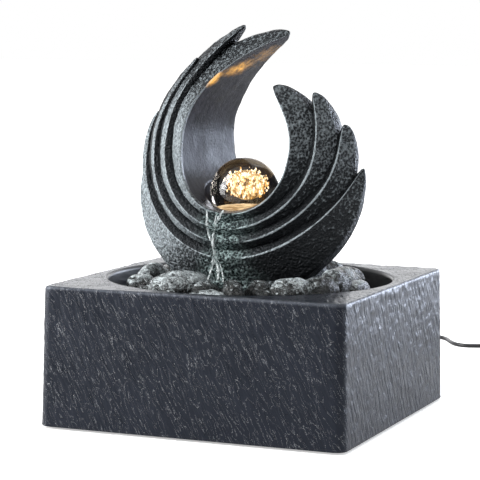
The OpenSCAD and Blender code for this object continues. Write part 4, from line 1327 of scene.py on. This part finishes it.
# Lamps: place and size in metres, power in watts and colour; each faces the object's middle
LAMPS = {
    "left_window": ((-1.25, -0.85, 0.90), (0.7, 1.2), 32.0, (1.0, 1.0, 1.0)),
    "low_window": ((-1.20, -0.72, 0.32), (0.6, 0.6), 9.0, (1.0, 1.0, 1.0)),
    "top_front": ((0.30, -0.70, 1.75), (0.7, 0.4), 12.0, (1.0, 1.0, 1.0)),
    "high_right": ((1.1, 0.9, 1.5), (1.6, 1.6), 6.0, (0.97, 0.98, 1.0)),
    "back_wall": ((-0.9, 2.2, 0.6), (2.4, 1.2), 13.0, (0.97, 0.98, 1.0)),
    "right_strip": ((1.05, 2.0, 0.38), (1.4, 0.8), 40.0, (0.76, 0.84, 1.0)),
}
LAMP_AIM = (0, 0, 0.12)
FLOOR = 12.0  # half the floor's side


def lay_floor():
    """A plain white square under the object."""
    corners = [(-FLOOR, -FLOOR, 0), (FLOOR, -FLOOR, 0), (FLOOR, FLOOR, 0), (-FLOOR, FLOOR, 0)]
    mesh = bpy.data.meshes.new("floor")
    mesh.from_pydata(corners, [], [(0, 1, 2, 3)])
    floor = bpy.data.objects.new("floor", mesh)
    bpy.context.collection.objects.link(floor)
    white = material(
        "floor_white", backdrop, Base_Color=(0.9, 0.9, 0.9), Roughness=0.9,
        Specular_IOR_Level=0.1, Emission_Strength=1.0,
    )
    mesh.materials.append(white)


def hang_lamps():
    """A broad light high on the left, softer ones behind on the right and above."""
    for name, (place, size, power, colour) in LAMPS.items():
        data = bpy.data.lights.new(name, "AREA")
        data.shape, data.energy, data.color = "RECTANGLE", power, colour
        data.size, data.size_y = size
        lamp = bpy.data.objects.new(name, data)
        back = np.array(place) - LAMP_AIM
        placed(lamp, unit(back), place)


def light_world():
    """A little even light all round. The camera sees it as white, and metal and glass show it
    nearly so."""
    world = bpy.data.worlds.new("studio")
    bpy.context.scene.world = world
    world.use_nodes = True
    tree = world.node_tree
    background = next(n for n in tree.nodes if n.type == "BACKGROUND")
    path = tree.nodes.new("ShaderNodeLightPath").outputs
    rays = ("Is Camera Ray", "Is Glossy Ray", "Is Transmission Ray")
    seen, mirrored, through = (Socket(tree, path[name]) for name in rays)
    strength = seen * 0.65 + mirrored.math("MAXIMUM", mirrored * 0.38, through * 0.45) + 0.35
    background.inputs["Color"].default_value = (1.0, 1.0, 1.0, 1.0)
    tree.links.new(strength.out, background.inputs["Strength"])


lay_floor()
hang_lamps()
light_world()
bpy.context.scene.view_settings.view_transform = "Standard"
